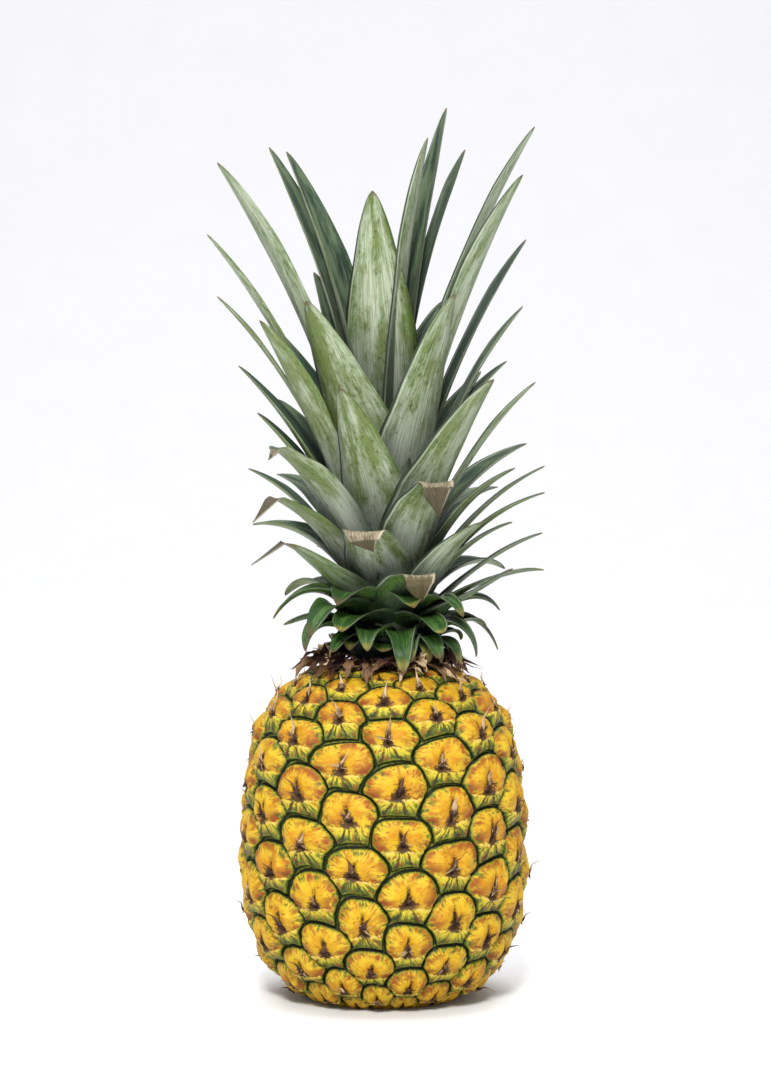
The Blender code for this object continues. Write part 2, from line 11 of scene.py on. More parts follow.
import bpy
import numpy as np
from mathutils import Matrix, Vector

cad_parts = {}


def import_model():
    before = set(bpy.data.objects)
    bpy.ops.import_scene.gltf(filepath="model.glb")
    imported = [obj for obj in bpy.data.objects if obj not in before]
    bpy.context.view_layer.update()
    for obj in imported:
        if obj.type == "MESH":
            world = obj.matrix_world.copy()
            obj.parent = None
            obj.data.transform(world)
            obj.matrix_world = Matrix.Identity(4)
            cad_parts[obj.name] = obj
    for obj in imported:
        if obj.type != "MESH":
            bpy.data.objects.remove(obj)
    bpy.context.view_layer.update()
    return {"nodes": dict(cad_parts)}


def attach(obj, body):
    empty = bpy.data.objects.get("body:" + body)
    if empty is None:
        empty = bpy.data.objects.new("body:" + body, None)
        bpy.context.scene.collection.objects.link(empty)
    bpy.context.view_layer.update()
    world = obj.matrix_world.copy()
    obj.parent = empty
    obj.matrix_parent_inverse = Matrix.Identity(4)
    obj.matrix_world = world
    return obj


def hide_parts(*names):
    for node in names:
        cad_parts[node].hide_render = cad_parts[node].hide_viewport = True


MM = 0.001

# Camera: the photograph's frame, its scale at the fruit's axis and where the axis and the base fall in it
FRAME_WIDTH_PX = 771
FRAME_HEIGHT_PX = 1080
MM_PER_PX = 0.4386
AXIS_PX = 384.0
BASE_PX = 1000.0
CAMERA_DISTANCE = 1600.0
CAMERA_ELEVATION = 4.0
SENSOR = 36.0

# Floor, in metres
FLOOR_HALF_WIDTH = 6.0
FLOOR_FRONT = -4.0
FLOOR_BACK = 1.7
SWEEP_RADIUS = 1.2
SWEEP_STEPS = 12
WALL_TOP = 5.0

# Fruit outline and eye lattice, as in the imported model
OUTLINE = [
    (-8.0, 8.0), (0.0, 29.0), (8.0, 42.5), (18.0, 50.5), (32.0, 57.2), (50.0, 60.4), (68.0, 60.6),
    (90.0, 59.2), (108.0, 57.0), (120.0, 53.6), (130.0, 47.8), (138.0, 40.6), (144.0, 32.5), (149.0, 20.0),
]
DIVERGENCE = 42.205
RISE = 1.283
LEFT_STEP = 8
RIGHT_STEP = 9
COLUMN_STEP = LEFT_STEP + RIGHT_STEP
REFERENCE_ANGLE = 5.1
REFERENCE_HEIGHT = 99.1
EYES_BELOW = 80
EYES_ABOVE = 44
FRONT_SPREAD = 2.1
FRONT_SPREAD_GROWTH = 0.21
ARCH = 0.1
LAST_SPINY_EYE = 24
FIRST_FULL_EYE = -72
RELIEF_FADE = 34.0
LEAST_RELIEF = 0.3
SOCKET_RADIUS = 12.4
SOCKET_DEPTH = 6.5
NECK_COVER = 146.4

# Fine relief of one eye, in millimetres, and its fineness
CREVICE_DEPTH = 1.3
EYE_LIFT = 3.3
OUTLINE_STEPS = 12
SIDE_POINTS = 9
RINGS = 14
CREASE_LEVEL = -0.3
HALF_CELL_ANGLE = 14.2
HALF_CELL_SWIRL = 11.0
DOME_WIDTH = 0.93

# Neck and crown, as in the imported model
NECK_TOP = 149.0
STEM_BOTTOM = 149.3
STEM_TOP = 238.0
STEM_BOTTOM_RADIUS = 22.0
STEM_TOP_RADIUS = 6.0
STEM_OFFSET = 2.0
STEM_LEAN = -0.026
TIP_TAPER = 0.62
ROOT_WIDTH = 0.82
FOLD_RADIUS = 1.7
FOLD_TURN = 162.0
FOLD_ARC = 4.8
FOLD_SHARE = 0.66
FOLD_SHOULDER = 26.0
FOLD_SKEW = 0.45
SIDE_FOLD_LOSS = 100.0
BLADE_THICKNESS = 0.7
TIP_HALF_WIDTH = 0.3
TAPER_SHARE = 0.72
ROOT_SINK = 0.6
FOLD_TURN_STEPS = 6
FOLD_HANG_STEPS = 8

Leaf = namedtuple("Leaf", "right front up root_up width bow pale turn fold", defaults=(0, 0))

# Leaves that show from the front. Each row gives the tip's place to the right, to the front and up,
# the root's height, the width, the bow in degrees, how pale with scurf the outer face is and, where they
# aren't 0, the turn of the root in degrees and the length of the folded tip
SEEN_LEAVES = [Leaf(*row) for row in (
    # Inner leaves at the top
    (27.5, -18, 391, 222, 14, 5, 0.5, 10),
    (19, 5, 377, 219, 22, 5, 0.9, 6),
    (-5, 21, 353.8, 206, 31, 6, 0.5),
    (-50.9, -28, 374.1, 216, 18, 9, 0.5),
    (-42.8, -12, 371.7, 218, 25, 9, 0.5),
    (35.7, -20, 372.8, 222, 8, 9, 0.4, 20),
    (64.9, 17, 381.3, 214, 15, 8, 0.95),
    (-71.3, 28, 365.5, 206, 20, 9, 0.75),
    (59.2, 34, 360.3, 205, 22, 8, 0.6),
    # Leaves of the upper ring
    (-76.1, 20, 335, 197, 17, 9, 0.65),
    (62.6, -16, 333.3, 200, 12, 9, 0.2),
    (30.3, 34, 309.6, 190, 32, 8, 0.6, -12),
    (-33.3, 34, 306.6, 189, 36, 9, 0.45, 25),
    (-72.4, 8, 308.3, 193, 12, 11, 0.3),
    (61.1, -14, 303.9, 196, 10, 10, 0.4),
    (-53.2, 32, 298.2, 183, 19, 10, 0.35),
    # Leaves of the middle ring
    (-64.1, -14, 277.8, 181, 18, 12, 0.1),
    (54.4, -24, 279.6, 186, 12, 18, 0.4),
    (46.9, 38, 273.2, 180, 29, 11, 0.5, -12),
    (65.8, 10, 271.2, 178, 13, 12, 0.5),
    (-18.9, 42, 269.7, 177, 35, 10, 0.45, 18),
    (-55.5, -2, 257.5, 173, 17, 13, 0.1),
    (-44.5, 36, 243.3, 171, 25, 15, 0.45, 14, 5),
    (-60, -18, 232.2, 171, 9, 19, 0.2),
    (57, 10, 233.8, 169, 17, 20, 0.2),
    (70.4, 0, 234.2, 170, 10, 16, 0.2),
    (21.5, 44, 228.5, 168, 28, 14, 0.35, 0, 15),
    (69.7, 16, 223.5, 166, 11, 20, 0.3),
    # Leaves of the lower ring, some with tips that dried and folded over
    (-46, 24, 221, 165, 21, 20, 0.3, 12, 17),
    (42.1, 40, 212.3, 163, 24, 14, 0.85),
    (-8.3, 48, 208.3, 163, 30, 20, 0.5, 0, 9),
    (55.7, 14, 210.1, 162, 15, 22, 0.3),
    (69.7, -4, 202.7, 161, 10, 16, 0.2),
    (-43, 10, 199, 160, 19, 20, 0.2, 0, 17),
    (-40.4, 34, 199, 160, 26, 18, 0.5, 10),
    (69.3, 20, 190.9, 158, 12, 24, 0.3),
    (14.5, 48, 190.8, 158, 29, 20, 0.4, 0, 14),
    (55.3, 34, 184.4, 156, 19, 18, 0.3),
    # Short leaves at the bottom, which spread and curl down
    (-48, 20, 172.4, 157, 23, 56, 0),
    (-20, 42, 177, 157, 29, 56, 0.3),
    (13, 44, 174.5, 157, 29, 58, 0.15),
    (50.2, 20, 167, 157, 20, 52, 0.1),
    (-18, 41, 160, 156, 30, 64, 0.2),
    (-34, 24, 153, 155.5, 22, 64, 0),
    (40, 24, 152.5, 155.5, 20, 62, 0),
    (-7, 40, 150.6, 155, 24, 66, 0),
    (8, 40, 151, 155, 22, 66, 0),
    (25, 38, 157, 156, 26, 66, 0.1),
    (-44, 4, 160, 156, 21, 44, 0),
    (45, -2, 158, 156, 20, 46, 0),
    (-32, 34, 166, 157, 24, 58, 0.1),
    (34, 34, 170, 157, 22, 56, 0.2),
    (24, 32, 150.6, 154, 20, 54, 0),
    (-22, 34, 151, 154, 20, 54, 0),
)]
FAR_LEAVES = 26
FAR_ARC = 74.0
GOLDEN_TURN = 0.618034
FAR_SEED = 5
NECK_LEAVES = 20
NECK_SEED = 3
LEAF_SEED = 200
LOW_ROOT = 156.5
HIGH_ROOT = 163.0
# Reach from the stem of the painted shade on the leaves
STEM_SHADE_REACH = 29.0
NO_FOLD = -20.0

# Dry bracts. The radii turn a length along the skin into degrees
EYE_SEED = 1000
EYE_SHREDS = 8
NECK_STRIPS = 96
NECK_SHREDS = 26
NECK_START = 147.5
BRACT_THICKNESS = 0.35
SHRED_THICKNESS = 0.25
SWIRL_RADIUS = 60.0
SHRED_RADIUS = 58.0

# Names of the values that the meshes carry for their materials
EYE_VALUES = ("eye_side", "eye_up", "eye_above", "eye_rim", "eye_dome", "eye_turn", "eye_seed")
LEAF_VALUES = ("leaf_seed", "leaf_pale", "leaf_length", "leaf_folded", "leaf_low", "leaf_stem_shade")

# Colours, as linear values
GOLD = (0.555, 0.318, 0.007)
AMBER = (0.455, 0.18, 0.006)
PEACH = (0.8, 0.5, 0.18)
PALE_GOLD = (0.64, 0.46, 0.035)
RUST = (0.22, 0.047, 0.011)
LEMON = (0.56, 0.44, 0.03)
LIME = (0.22, 0.25, 0.016)
OLIVE = (0.036, 0.068, 0.01)
# Near-black of the crevice lines, partly the groove's own colour and partly painted shade
CREVICE = (0.007, 0.01, 0.003)
BARK = (0.03, 0.012, 0.01)
UMBER = (0.125, 0.056, 0.024)
STRAW = (0.58, 0.42, 0.25)
SCURF = (0.25, 0.31, 0.19)
WHITE_SCURF = (0.53, 0.58, 0.46)
GREY_GREEN = (0.15, 0.21, 0.11)
LOW_GREEN = (0.02, 0.06, 0.012)
LOW_BRIGHT = (0.085, 0.185, 0.035)
# Near-black green for the painted shade on the leaves and the crown stem
LEAF_SHADE = (0.006, 0.015, 0.006)
LAVENDER = (0.4, 0.42, 0.42)
LEAF_GREEN = (0.04, 0.1, 0.016)
BRIGHT_GREEN = (0.13, 0.24, 0.025)
LEAF_OLIVE = (0.14, 0.16, 0.036)
DEEP_GREEN = (0.01, 0.03, 0.017)
BLUE_GREEN = (0.058, 0.098, 0.066)
LEAF_YELLOW = (0.52, 0.45, 0.06)
DRY_TIP = (0.12, 0.08, 0.038)
FOLD_BROWN = (0.06, 0.052, 0.02)
CREAM = (0.5, 0.43, 0.31)
STALK_PALE = (0.6, 0.47, 0.27)
STALK_FIBRE = (0.3, 0.19, 0.09)
STALK_BROWN = (0.42, 0.3, 0.14)
FLOOR_GREY = (0.76, 0.76, 0.78)
FLOOR_PALE = (0.79, 0.79, 0.81)


class Graph:
    """One node material, with short calls that take numbers or sockets."""

    def __init__(self, name):
        self.material = bpy.data.materials.new(name)
        self.material.use_nodes = True
        self.tree = self.material.node_tree
        self.shader = self.tree.nodes["Principled BSDF"]

    def feed(self, socket, source):
        """Links a socket, or sets its own value."""
        if isinstance(source, bpy.types.NodeSocket):
            self.tree.links.new(source, socket)
        elif isinstance(source, tuple) and len(source) == 3 and socket.type == "RGBA":
            socket.default_value = (*source, 1.0)
        else:
            socket.default_value = source

    def math(self, operation, first, second=0.0):
        node = self.tree.nodes.new("ShaderNodeMath")
        node.operation = operation
        self.feed(node.inputs[0], first)
        self.feed(node.inputs[1], second)
        return node.outputs[0]

    def times(self, *factors):
        product = factors[0]
        for factor in factors[1:]:
            product = self.math("MULTIPLY", product, factor)
        return product

    def add(self, first, second):
        return self.math("ADD", first, second)

    def band(self, value, low, high):
        """0 at low and 1 at high, with a smooth step between. Low may be the greater."""
        node = self.tree.nodes.new("ShaderNodeMapRange")
        node.interpolation_type = "SMOOTHSTEP"
        self.feed(node.inputs["Value"], value)
        ends = (min(low, high), max(low, high), float(low > high), float(low < high))
        for key, end in zip(("From Min", "From Max", "To Min", "To Max"), ends):
            node.inputs[key].default_value = end
        return node.outputs["Result"]

    def mix(self, share, first, second):
        node = self.tree.nodes.new("ShaderNodeMix")
        node.data_type = "RGBA"
        self.feed(node.inputs["Factor"], share)
        self.feed(node.inputs[6], first)
        self.feed(node.inputs[7], second)
        return node.outputs[2]

    def layers(self, colour, *steps):
        """Lays colours over a first one. Each step gives its colour and the factors of its share.

        A factor given as a value, a low and a high is their band.
        """
        for layer, *factors in steps:
            shares = [self.band(*factor) if isinstance(factor, tuple) else factor for factor in factors]
            colour = self.mix(self.times(*shares), colour, layer)
        return colour

    def attribute(self, name):
        node = self.tree.nodes.new("ShaderNodeAttribute")
        node.attribute_name = name
        return node.outputs["Fac"]

    def place(self):
        """Position on the object, in millimetres."""
        node = self.tree.nodes.new("ShaderNodeTexCoord")
        scale = self.tree.nodes.new("ShaderNodeVectorMath")
        scale.operation = "SCALE"
        self.feed(scale.inputs[0], node.outputs["Object"])
        scale.inputs["Scale"].default_value = 1.0 / MM
        return scale.outputs[0]

    def split_uv(self):
        node = self.tree.nodes.new("ShaderNodeUVMap")
        node.uv_map = "OFBake"
        split = self.tree.nodes.new("ShaderNodeSeparateXYZ")
        self.feed(split.inputs[0], node.outputs[0])
        return split.outputs[0], split.outputs[1]

    def vector(self, x, y, z):
        node = self.tree.nodes.new("ShaderNodeCombineXYZ")
        for socket, source in zip(node.inputs, (x, y, z)):
            self.feed(socket, source)
        return node.outputs[0]

    def noise(self, vector, scale=1.0, detail=3.0, roughness=0.5):
        node = self.tree.nodes.new("ShaderNodeTexNoise")
        self.feed(node.inputs["Vector"], vector)
        for key, value in (("Scale", scale), ("Detail", detail), ("Roughness", roughness)):
            node.inputs[key].default_value = value
        return node.outputs["Fac"]

    def finish(self, colour, roughness, height=None, depth=0.2, specular=0.4):
        """Joins the surface: colour, roughness and a bump of a depth in millimetres."""
        self.feed(self.shader.inputs["Base Color"], colour)
        self.feed(self.shader.inputs["Roughness"], roughness)
        self.shader.inputs["Specular IOR Level"].default_value = specular
        if height is not None:
            bump = self.tree.nodes.new("ShaderNodeBump")
            bump.inputs["Distance"].default_value = depth * MM
            bump.inputs["Strength"].default_value = 1.0
            self.feed(bump.inputs["Height"], height)
            self.tree.links.new(bump.outputs[0], self.shader.inputs["Normal"])
        return self.material


def add_object(name, data):
    """Puts data into the scene as an object."""
    thing = bpy.data.objects.new(name, data)
    bpy.context.scene.collection.objects.link(thing)
    return thing


def mesh_object(name, points, faces, uvs, material, values=None, corner_values=None):
    """Makes a smooth mesh from points in millimetres, with a UV pair for each face corner.

    values holds one number for the whole mesh or one for each point, and corner_values one for each corner.
    """
    mesh = bpy.data.meshes.new(name)
    mesh.from_pydata((np.asarray(points, dtype=float) * MM).tolist(), [], faces)
    layer = mesh.uv_layers.new(name="OFBake")
    layer.data.foreach_set("uv", np.asarray(uvs, dtype=np.float32).ravel())
    for domain, named in (("POINT", values or {}), ("CORNER", corner_values or {})):
        for key, value in named.items():
            data = np.full(len(points), value) if np.isscalar(value) else value
            layer = mesh.attributes.new(key, "FLOAT", domain)
            layer.data.foreach_set("value", np.asarray(data, dtype=np.float32))
    mesh.shade_smooth()
    mesh.materials.append(material)
    return add_object(name, mesh)


def smooth_outline(stations):
    """A Catmull-Rom curve through the stations, as an array of heights and radii."""
    points = [Vector(station) for station in stations]
    points = [2 * points[0] - points[1]] + points + [2 * points[-1] - points[-2]]
    curve = []
    for before, start, end, after in zip(points, points[1:], points[2:], points[3:]):
        for step in range(OUTLINE_STEPS):
            u = step / OUTLINE_STEPS
            bend = 2 * before - 5 * start + 4 * end - after
            twist = 3 * start - before - 3 * end + after
            curve.append(0.5 * (2 * start + u * (end - before) + u * u * bend + u ** 3 * twist))
    curve.append(points[-2])
    return np.array(curve)


class Skin:
    """The fruit's surface by angle round it and by swirl height, both in degrees."""

    def __init__(self):
        curve = smooth_outline(OUTLINE)
        step = np.diff(curve, axis=0)
        length = np.hypot(step[:, 0], step[:, 1])
        middle = 0.5 * (curve[1:, 1] + curve[:-1, 1])
        self.swirl = np.concatenate([[0.0], np.cumsum(np.degrees(length / middle))])
        self.height = curve[:, 0]
        self.radius = curve[:, 1]
        slope = np.gradient(curve, axis=0)
        slope /= np.linalg.norm(slope, axis=1)[:, None]
        self.out_round = slope[:, 0]
        self.out_up = -slope[:, 1]
        self.reference = float(np.interp(REFERENCE_HEIGHT, self.height, self.swirl))

    def points(self, angle, swirl, lift):
        """Places at angles and swirl heights, lifted off the skin."""
        radius = np.interp(swirl, self.swirl, self.radius)
        radius = radius + lift * np.interp(swirl, self.swirl, self.out_round)
        height = np.interp(swirl, self.swirl, self.height)
        height = height + lift * np.interp(swirl, self.swirl, self.out_up)
        turns = (swirl - self.reference) / RISE
        spread = (FRONT_SPREAD + FRONT_SPREAD_GROWTH * turns) * np.sin(np.radians(angle))
        turned = np.radians(angle + spread)
        return np.stack([radius * np.sin(turned), -radius * np.cos(turned), height], axis=-1)


def eye_centre(number, skin):
    """Angle and swirl height of one eye. Eye 0 is the reference, at the front."""
    angle = (REFERENCE_ANGLE + DIVERGENCE * number) % 360.0
    return np.array((angle, skin.reference + RISE * number))


def warped(place):
    """Lattice places moved a little, so that the rows of eyes aren't even. It repeats at each full turn."""
    angle = np.radians(place[..., 0])
    swirl = np.radians(place[..., 1])
    sideways = 0.9 * np.sin(7 * angle + 9 * swirl) + 0.6 * np.sin(13 * angle - 11 * swirl + 2)
    up = 0.7 * np.sin(8 * angle + 10 * swirl + 1) + 0.5 * np.sin(11 * angle - 14 * swirl)
    return place + np.stack([sideways, up], axis=-1)


def corner_shift(kind):
    """From an eye's centre to the corner that it shares with its column and its left or right row."""
    step = LEFT_STEP if kind == "left" else RIGHT_STEP
    sideways = DIVERGENCE * step - 360.0
    column = DIVERGENCE * COLUMN_STEP - 720.0
    return np.array(((sideways + column) / 3, RISE * (step + COLUMN_STEP) / 3))


def row_shift(steps, turns):
    """From an eye's centre to the eye some steps along the spiral, less whole turns."""
    return np.array((DIVERGENCE * steps - 360.0 * turns, RISE * steps))


def cell_outline():
    """Points round a cell, from its centre: six sides, each an arc through a bowed middle."""
    left = corner_shift("left")
    right = corner_shift("right")
    left_row = row_shift(LEFT_STEP, 1)
    right_row = row_shift(RIGHT_STEP, 1)
    column = row_shift(COLUMN_STEP, 2)
    corners = [right, left - left_row, right - column, left - column, right - right_row, left]
    points = []
    for side, start in enumerate(corners):
        end = corners[(side + 1) % 6]
        middle = (start + end) / 2
        bowed = middle * (1 + ARCH) if side in (0, 4, 5) else middle * (1 - ARCH)
        control = 2 * bowed - middle
        for step in range(SIDE_POINTS):
            u = step / SIDE_POINTS
            points.append((1 - u) ** 2 * start + 2 * u * (1 - u) * control + u * u * end)
    return np.array(points)


def relief_of(number):
    """Strength of an eye's relief, which fades where the fruit was cut and under the crown."""
    beyond = np.maximum(np.maximum(number - LAST_SPINY_EYE, FIRST_FULL_EYE - number), 0)
    return np.maximum(LEAST_RELIEF, 1.0 - beyond / RELIEF_FADE)


def smooth(value, low, high):
    """0 at low and 1 at high, with a smooth step between."""
    share = np.clip((value - low) / (high - low), 0.0, 1.0)
    return share * share * (3 - 2 * share)


def ripple(x, y, draw):
    """A few crossed waves with drawn directions, as cheap noise for small lumps."""
    total = np.zeros_like(x)
    for wave in range(5):
        heading = draw.uniform(0, math.pi)
        pitch = draw.uniform(3.0, 9.0) * (1 + 0.4 * wave)
        phase = draw.uniform(0, 2 * math.pi)
        total += np.sin(pitch * (x * math.cos(heading) + y * math.sin(heading)) + phase) / (1 + 0.6 * wave)
    return total / 3


def dome_share(side, up, above, rim):
    """How far a place is from the eye's middle to the edge of its round upper lobes, or to the rim below."""
    round_edge = ((np.abs(side) / DOME_WIDTH) ** 2.4 + np.abs(up) ** 2.4) ** (1 / 2.4)
    upper = smooth(above, -0.25, 0.05)
    return upper * np.maximum(rim, round_edge) + (1 - upper) * rim


def eye_relief(side, up, above, rim, domed, turn, draw):
    """Height of the eye's surface, from its local places: two swollen lobes over a fanned bract."""
    swell = draw.uniform(0.88, 1.12)
    lobe_count = draw.choice((8, 9, 10, 11))
    start = draw.uniform(0, math.pi)
    wobble = draw.uniform(0.004, 0.012) * np.sin(turn * 14 * math.pi + 2 * start)
    groove = np.exp(-(np.sin((turn + wobble) * math.pi * lobe_count + start) / 0.33) ** 2)
    dome = np.clip(1 - (domed + 0.035 * groove) ** 4, 0, 1) ** 0.6
    cushion = np.exp(-((np.abs(side) - 0.4) / 0.3) ** 2 - ((up - 0.14) / 0.45) ** 2)
    tilt = 1 + draw.uniform(-0.1, 0.1) * side
    upper = dome * (0.66 + 0.42 * cushion) * tilt
    upper -= 0.15 * groove * smooth(rim, 0.35, 0.75) * (1 - smooth(rim, 0.93, 1.0))
    ray = np.arctan2(side, 0.25 - above)
    fall = np.clip(-above / 0.75, 0, 1)
    lip = 0.1 * np.exp(-((above + 0.07) / 0.06) ** 2)
    ridge = 0.055 * np.sin(ray * draw.uniform(11, 15) + start) * smooth(-above, 0.02, 0.15)
    fan = (0.84 - 0.6 * fall ** 1.3 + lip + ridge) * np.clip(1 - rim ** 10, 0, 1) ** 0.5
    below = 1 - smooth(above, -0.03, 0.03)
    height = (upper * (1 - below) + fan * below) * EYE_LIFT * swell
    crease = np.exp(-(above / 0.035) ** 2) * (1 - smooth(np.abs(side), 0.6, 0.9))
    height -= 0.55 * crease
    split = np.exp(-((side + 0.03 * np.sin(9 * up + start)) / 0.055) ** 2) * smooth(above, -0.02, 0.1)
    height -= 1.1 * split * (1 - smooth(up, 0.35, 0.65))
    pit = np.exp(-(side / 0.13) ** 2 - ((above - 0.06) / 0.13) ** 2)
    height -= 1.0 * pit
    height += 0.22 * ripple(side, up, draw) * (1 - smooth(rim, 0.8, 1.0))
    flank = 1.5 * smooth(domed, 1.0, 1.12) * (1 - smooth(rim, 0.9, 1.0))
    return height + flank - CREVICE_DEPTH * smooth(domed, 0.92, 1.0)


def build_skin(skin, material):
    """The fruit's skin: every cell as rings round its centre, welded to its neighbours in the crevices."""
    outline = cell_outline()
    around = len(outline)
    rim_of_ring = np.array([1 - (1 - ring / RINGS) ** 1.35 for ring in range(1, RINGS + 1)])
    local = np.concatenate([np.zeros((1, 2))] + [outline * rim for rim in rim_of_ring])
    rims = np.concatenate([[0.0], np.repeat(rim_of_ring, around)])
    turns = np.concatenate([[0.0], np.tile(np.arange(around) / around, RINGS)])
    side = local[:, 0] / HALF_CELL_ANGLE
    up = local[:, 1] / HALF_CELL_SWIRL
    cell_faces = [(0, 1 + index, 1 + (index + 1) % around) for index in range(around)]
    cell_turns = [(0.0, index / around, (index + 1) / around) for index in range(around)]
    for ring in range(RINGS - 1):
        base = 1 + ring * around
        beyond = base + around
        for index in range(around):
            following = (index + 1) % around
            cell_faces.append((base + index, beyond + index, beyond + following, base + following))
            end = (index + 1) / around
            cell_turns.append((index / around, index / around, end, end))
    flat = np.concatenate([np.array(face) for face in cell_faces])
    flat_turns = np.concatenate([np.array(turn) for turn in cell_turns])
    points = []
    faces = []
    uvs = []
    corners = {key: [] for key in EYE_VALUES}
    first = -EYES_BELOW - 2 * COLUMN_STEP
    last = EYES_ABOVE + 2 * COLUMN_STEP
    for order, number in enumerate(range(first, last + 1)):
        draw = random.Random(number)
        centre = eye_centre(number, skin)
        place = warped(centre + local)
        relief = relief_of(number)
        above = up - CREASE_LEVEL - draw.uniform(-0.05, 0.05) - 0.1 * side * draw.uniform(-1, 1)
        domed = dome_share(side, up, above, rims)
        height = eye_relief(side, up, above, rims, domed, turns, draw) * relief
        points.append((place, height, rims == 1.0))
        offset = order * len(local)
        faces.extend(tuple(offset + index for index in face) for face in cell_faces)
        uvs.append(np.stack([(place[flat, 0] + 20.0) / 400.0, (place[flat, 1]) / skin.swirl[-1]], axis=-1))
        seeds = np.full(len(flat), draw.random())
        layers = (side[flat], up[flat], above[flat], rims[flat], domed[flat], flat_turns, seeds)
        for key, layer in zip(EYE_VALUES, layers):
            corners[key].append(layer)
    place, height, edge = (np.concatenate(parts) for parts in zip(*points))
    height[edge] = edge_height(place[edge], skin)
    solid = finish_ends(skin.points(place[:, 0], place[:, 1], height))
    keys = np.round(solid * 200).astype(np.int64)
    index, inverse = np.unique(keys, axis=0, return_index=True, return_inverse=True)[1:]
    kept_faces = []
    kept_corners = []
    cursor = 0
    welded = inverse.ravel().tolist()
    for face in faces:
        mapped = [welded[corner] for corner in face]
        if len(set(mapped)) == len(mapped):
            kept_faces.append(mapped)
            kept_corners.extend(range(cursor, cursor + len(face)))
        cursor += len(face)
    kept_corners = np.array(kept_corners)
    all_uvs = np.clip(np.concatenate(uvs), 0.0, 1.0)
    values = {key: np.concatenate(parts)[kept_corners] for key, parts in corners.items()}
    return mesh_object("fruit_skin", solid[index], kept_faces, all_uvs[kept_corners], material,
                       corner_values=values)


def edge_height(place, skin):
    """Depth of the crevices, from the swirl height alone, so that neighbours agree."""
    return -CREVICE_DEPTH * relief_of((place[:, 1] - skin.reference) / RISE)


def finish_ends(solid):
    """Levels the base, sinks the stalk's socket and levels the top under the neck."""
    radius = np.hypot(solid[:, 0], solid[:, 1])
    low = solid[:, 2] < 0.0
    solid[low, 2] = 0.0
    socket = (radius < SOCKET_RADIUS) & (solid[:, 2] < 30.0)
    solid[socket, 2] = SOCKET_DEPTH
    solid[:, 2] = np.minimum(solid[:, 2], NECK_COVER)
    return solid


def stem_middle(height):
    """Where the leaning stem's axis is at a height."""
    return Vector((STEM_OFFSET + STEM_LEAN * (height - STEM_BOTTOM), 0.0, height))


def stem_radius(height):
    """Radius of the stem at a height."""
    share = min(max((height - STEM_BOTTOM) / (STEM_TOP - STEM_BOTTOM), 0.0), 1.0)
    return STEM_BOTTOM_RADIUS + (STEM_TOP_RADIUS - STEM_BOTTOM_RADIUS) * share


def outward(azimuth):
    """Level direction away from the axis. 0 degrees is the front and 90 is the right."""
    return Vector((math.sin(math.radians(azimuth)), -math.cos(math.radians(azimuth)), 0.0))


def leaf_course(leaf):
    """The two ends and the two handles of a leaf's centre line, and its azimuths."""
    tip = Vector((leaf.right, -leaf.front, leaf.up))
    offset = tip - stem_middle(leaf.up)
    tip_azimuth = math.degrees(math.atan2(offset.x, -offset.y))
    root_azimuth = tip_azimuth + leaf.turn
    root = stem_middle(leaf.root_up) + outward(root_azimuth) * stem_radius(leaf.root_up) * ROOT_SINK
    chord = tip - root
    lean = math.atan2(math.hypot(chord.x, chord.y), chord.z)
    start_lean = lean - math.radians(leaf.bow)
    end_lean = lean + math.radians(leaf.bow) * 1.3
    start = outward(root_azimuth) * math.sin(start_lean) + Vector((0, 0, math.cos(start_lean)))
    end = outward(tip_azimuth) * math.sin(end_lean) + Vector((0, 0, math.cos(end_lean)))
    handle = chord.length * (0.36 + 0.0045 * max(0.0, leaf.bow - 30.0))
    return (root, root + start * handle, tip - end * handle, tip), root_azimuth, tip_azimuth


def bezier(ends, u):
    """A point of a cubic Bezier curve."""
    a, b, c, d = ends
    v = 1 - u
    return v ** 3 * a + 3 * v * v * u * b + 3 * v * u * u * c + u ** 3 * d


def leaf_line(leaf, steps):
    """Centre line of a leaf from root to tip, with the fold of a tip that hangs over, and its azimuths."""
    ends, root_azimuth, tip_azimuth = leaf_course(leaf)
    line = [bezier(ends, 1 - (1 - step / steps) ** 1.25) for step in range(steps + 1)]
    if leaf.fold:
        direction = (ends[3] - ends[2]).normalized()
        side = direction.cross(outward(tip_azimuth)).normalized()
        down = side.cross(direction).normalized()
        down = -down if down.dot(outward(tip_azimuth)) < 0 else down
        centre = line[-1] + down * FOLD_RADIUS
        turned = FOLD_TURN - SIDE_FOLD_LOSS * float(smooth(abs(tip_azimuth), 38.0, 60.0))
        for part in range(1, FOLD_TURN_STEPS + 1):
            angle = math.radians(turned * part / FOLD_TURN_STEPS)
            inward = down * FOLD_RADIUS * math.cos(angle)
            line.append(centre - inward + direction * FOLD_RADIUS * math.sin(angle))
        angle = math.radians(turned)
        hanging = direction * math.cos(angle) + down * math.sin(angle)
        hanging = (hanging + side * FOLD_SKEW * math.sin(leaf.up)).normalized()
        start = line[-1]
        for part in range(1, FOLD_HANG_STEPS + 1):
            line.append(start + hanging * leaf.fold * part / FOLD_HANG_STEPS)
    return line, root_azimuth, tip_azimuth


def half_width(width, to_tip, share, length, fold):
    """Half the width of a blade at a distance from its tip and at a share of its length from the root."""
    taper = min(1.0, to_tip / min(2.0 * width, TAPER_SHARE * length)) ** TIP_TAPER
    if fold:
        knee = fold + FOLD_ARC
        beyond = (to_tip - knee) / FOLD_SHOULDER
        taper = FOLD_SHARE * to_tip / knee if beyond < 0 else min(1.0, FOLD_SHARE + (1 - FOLD_SHARE) * beyond)
    base = ROOT_WIDTH + (1.0 - ROOT_WIDTH) * min(1.0, share / 0.3)
    return max(TIP_HALF_WIDTH, width / 2 * taper * base)


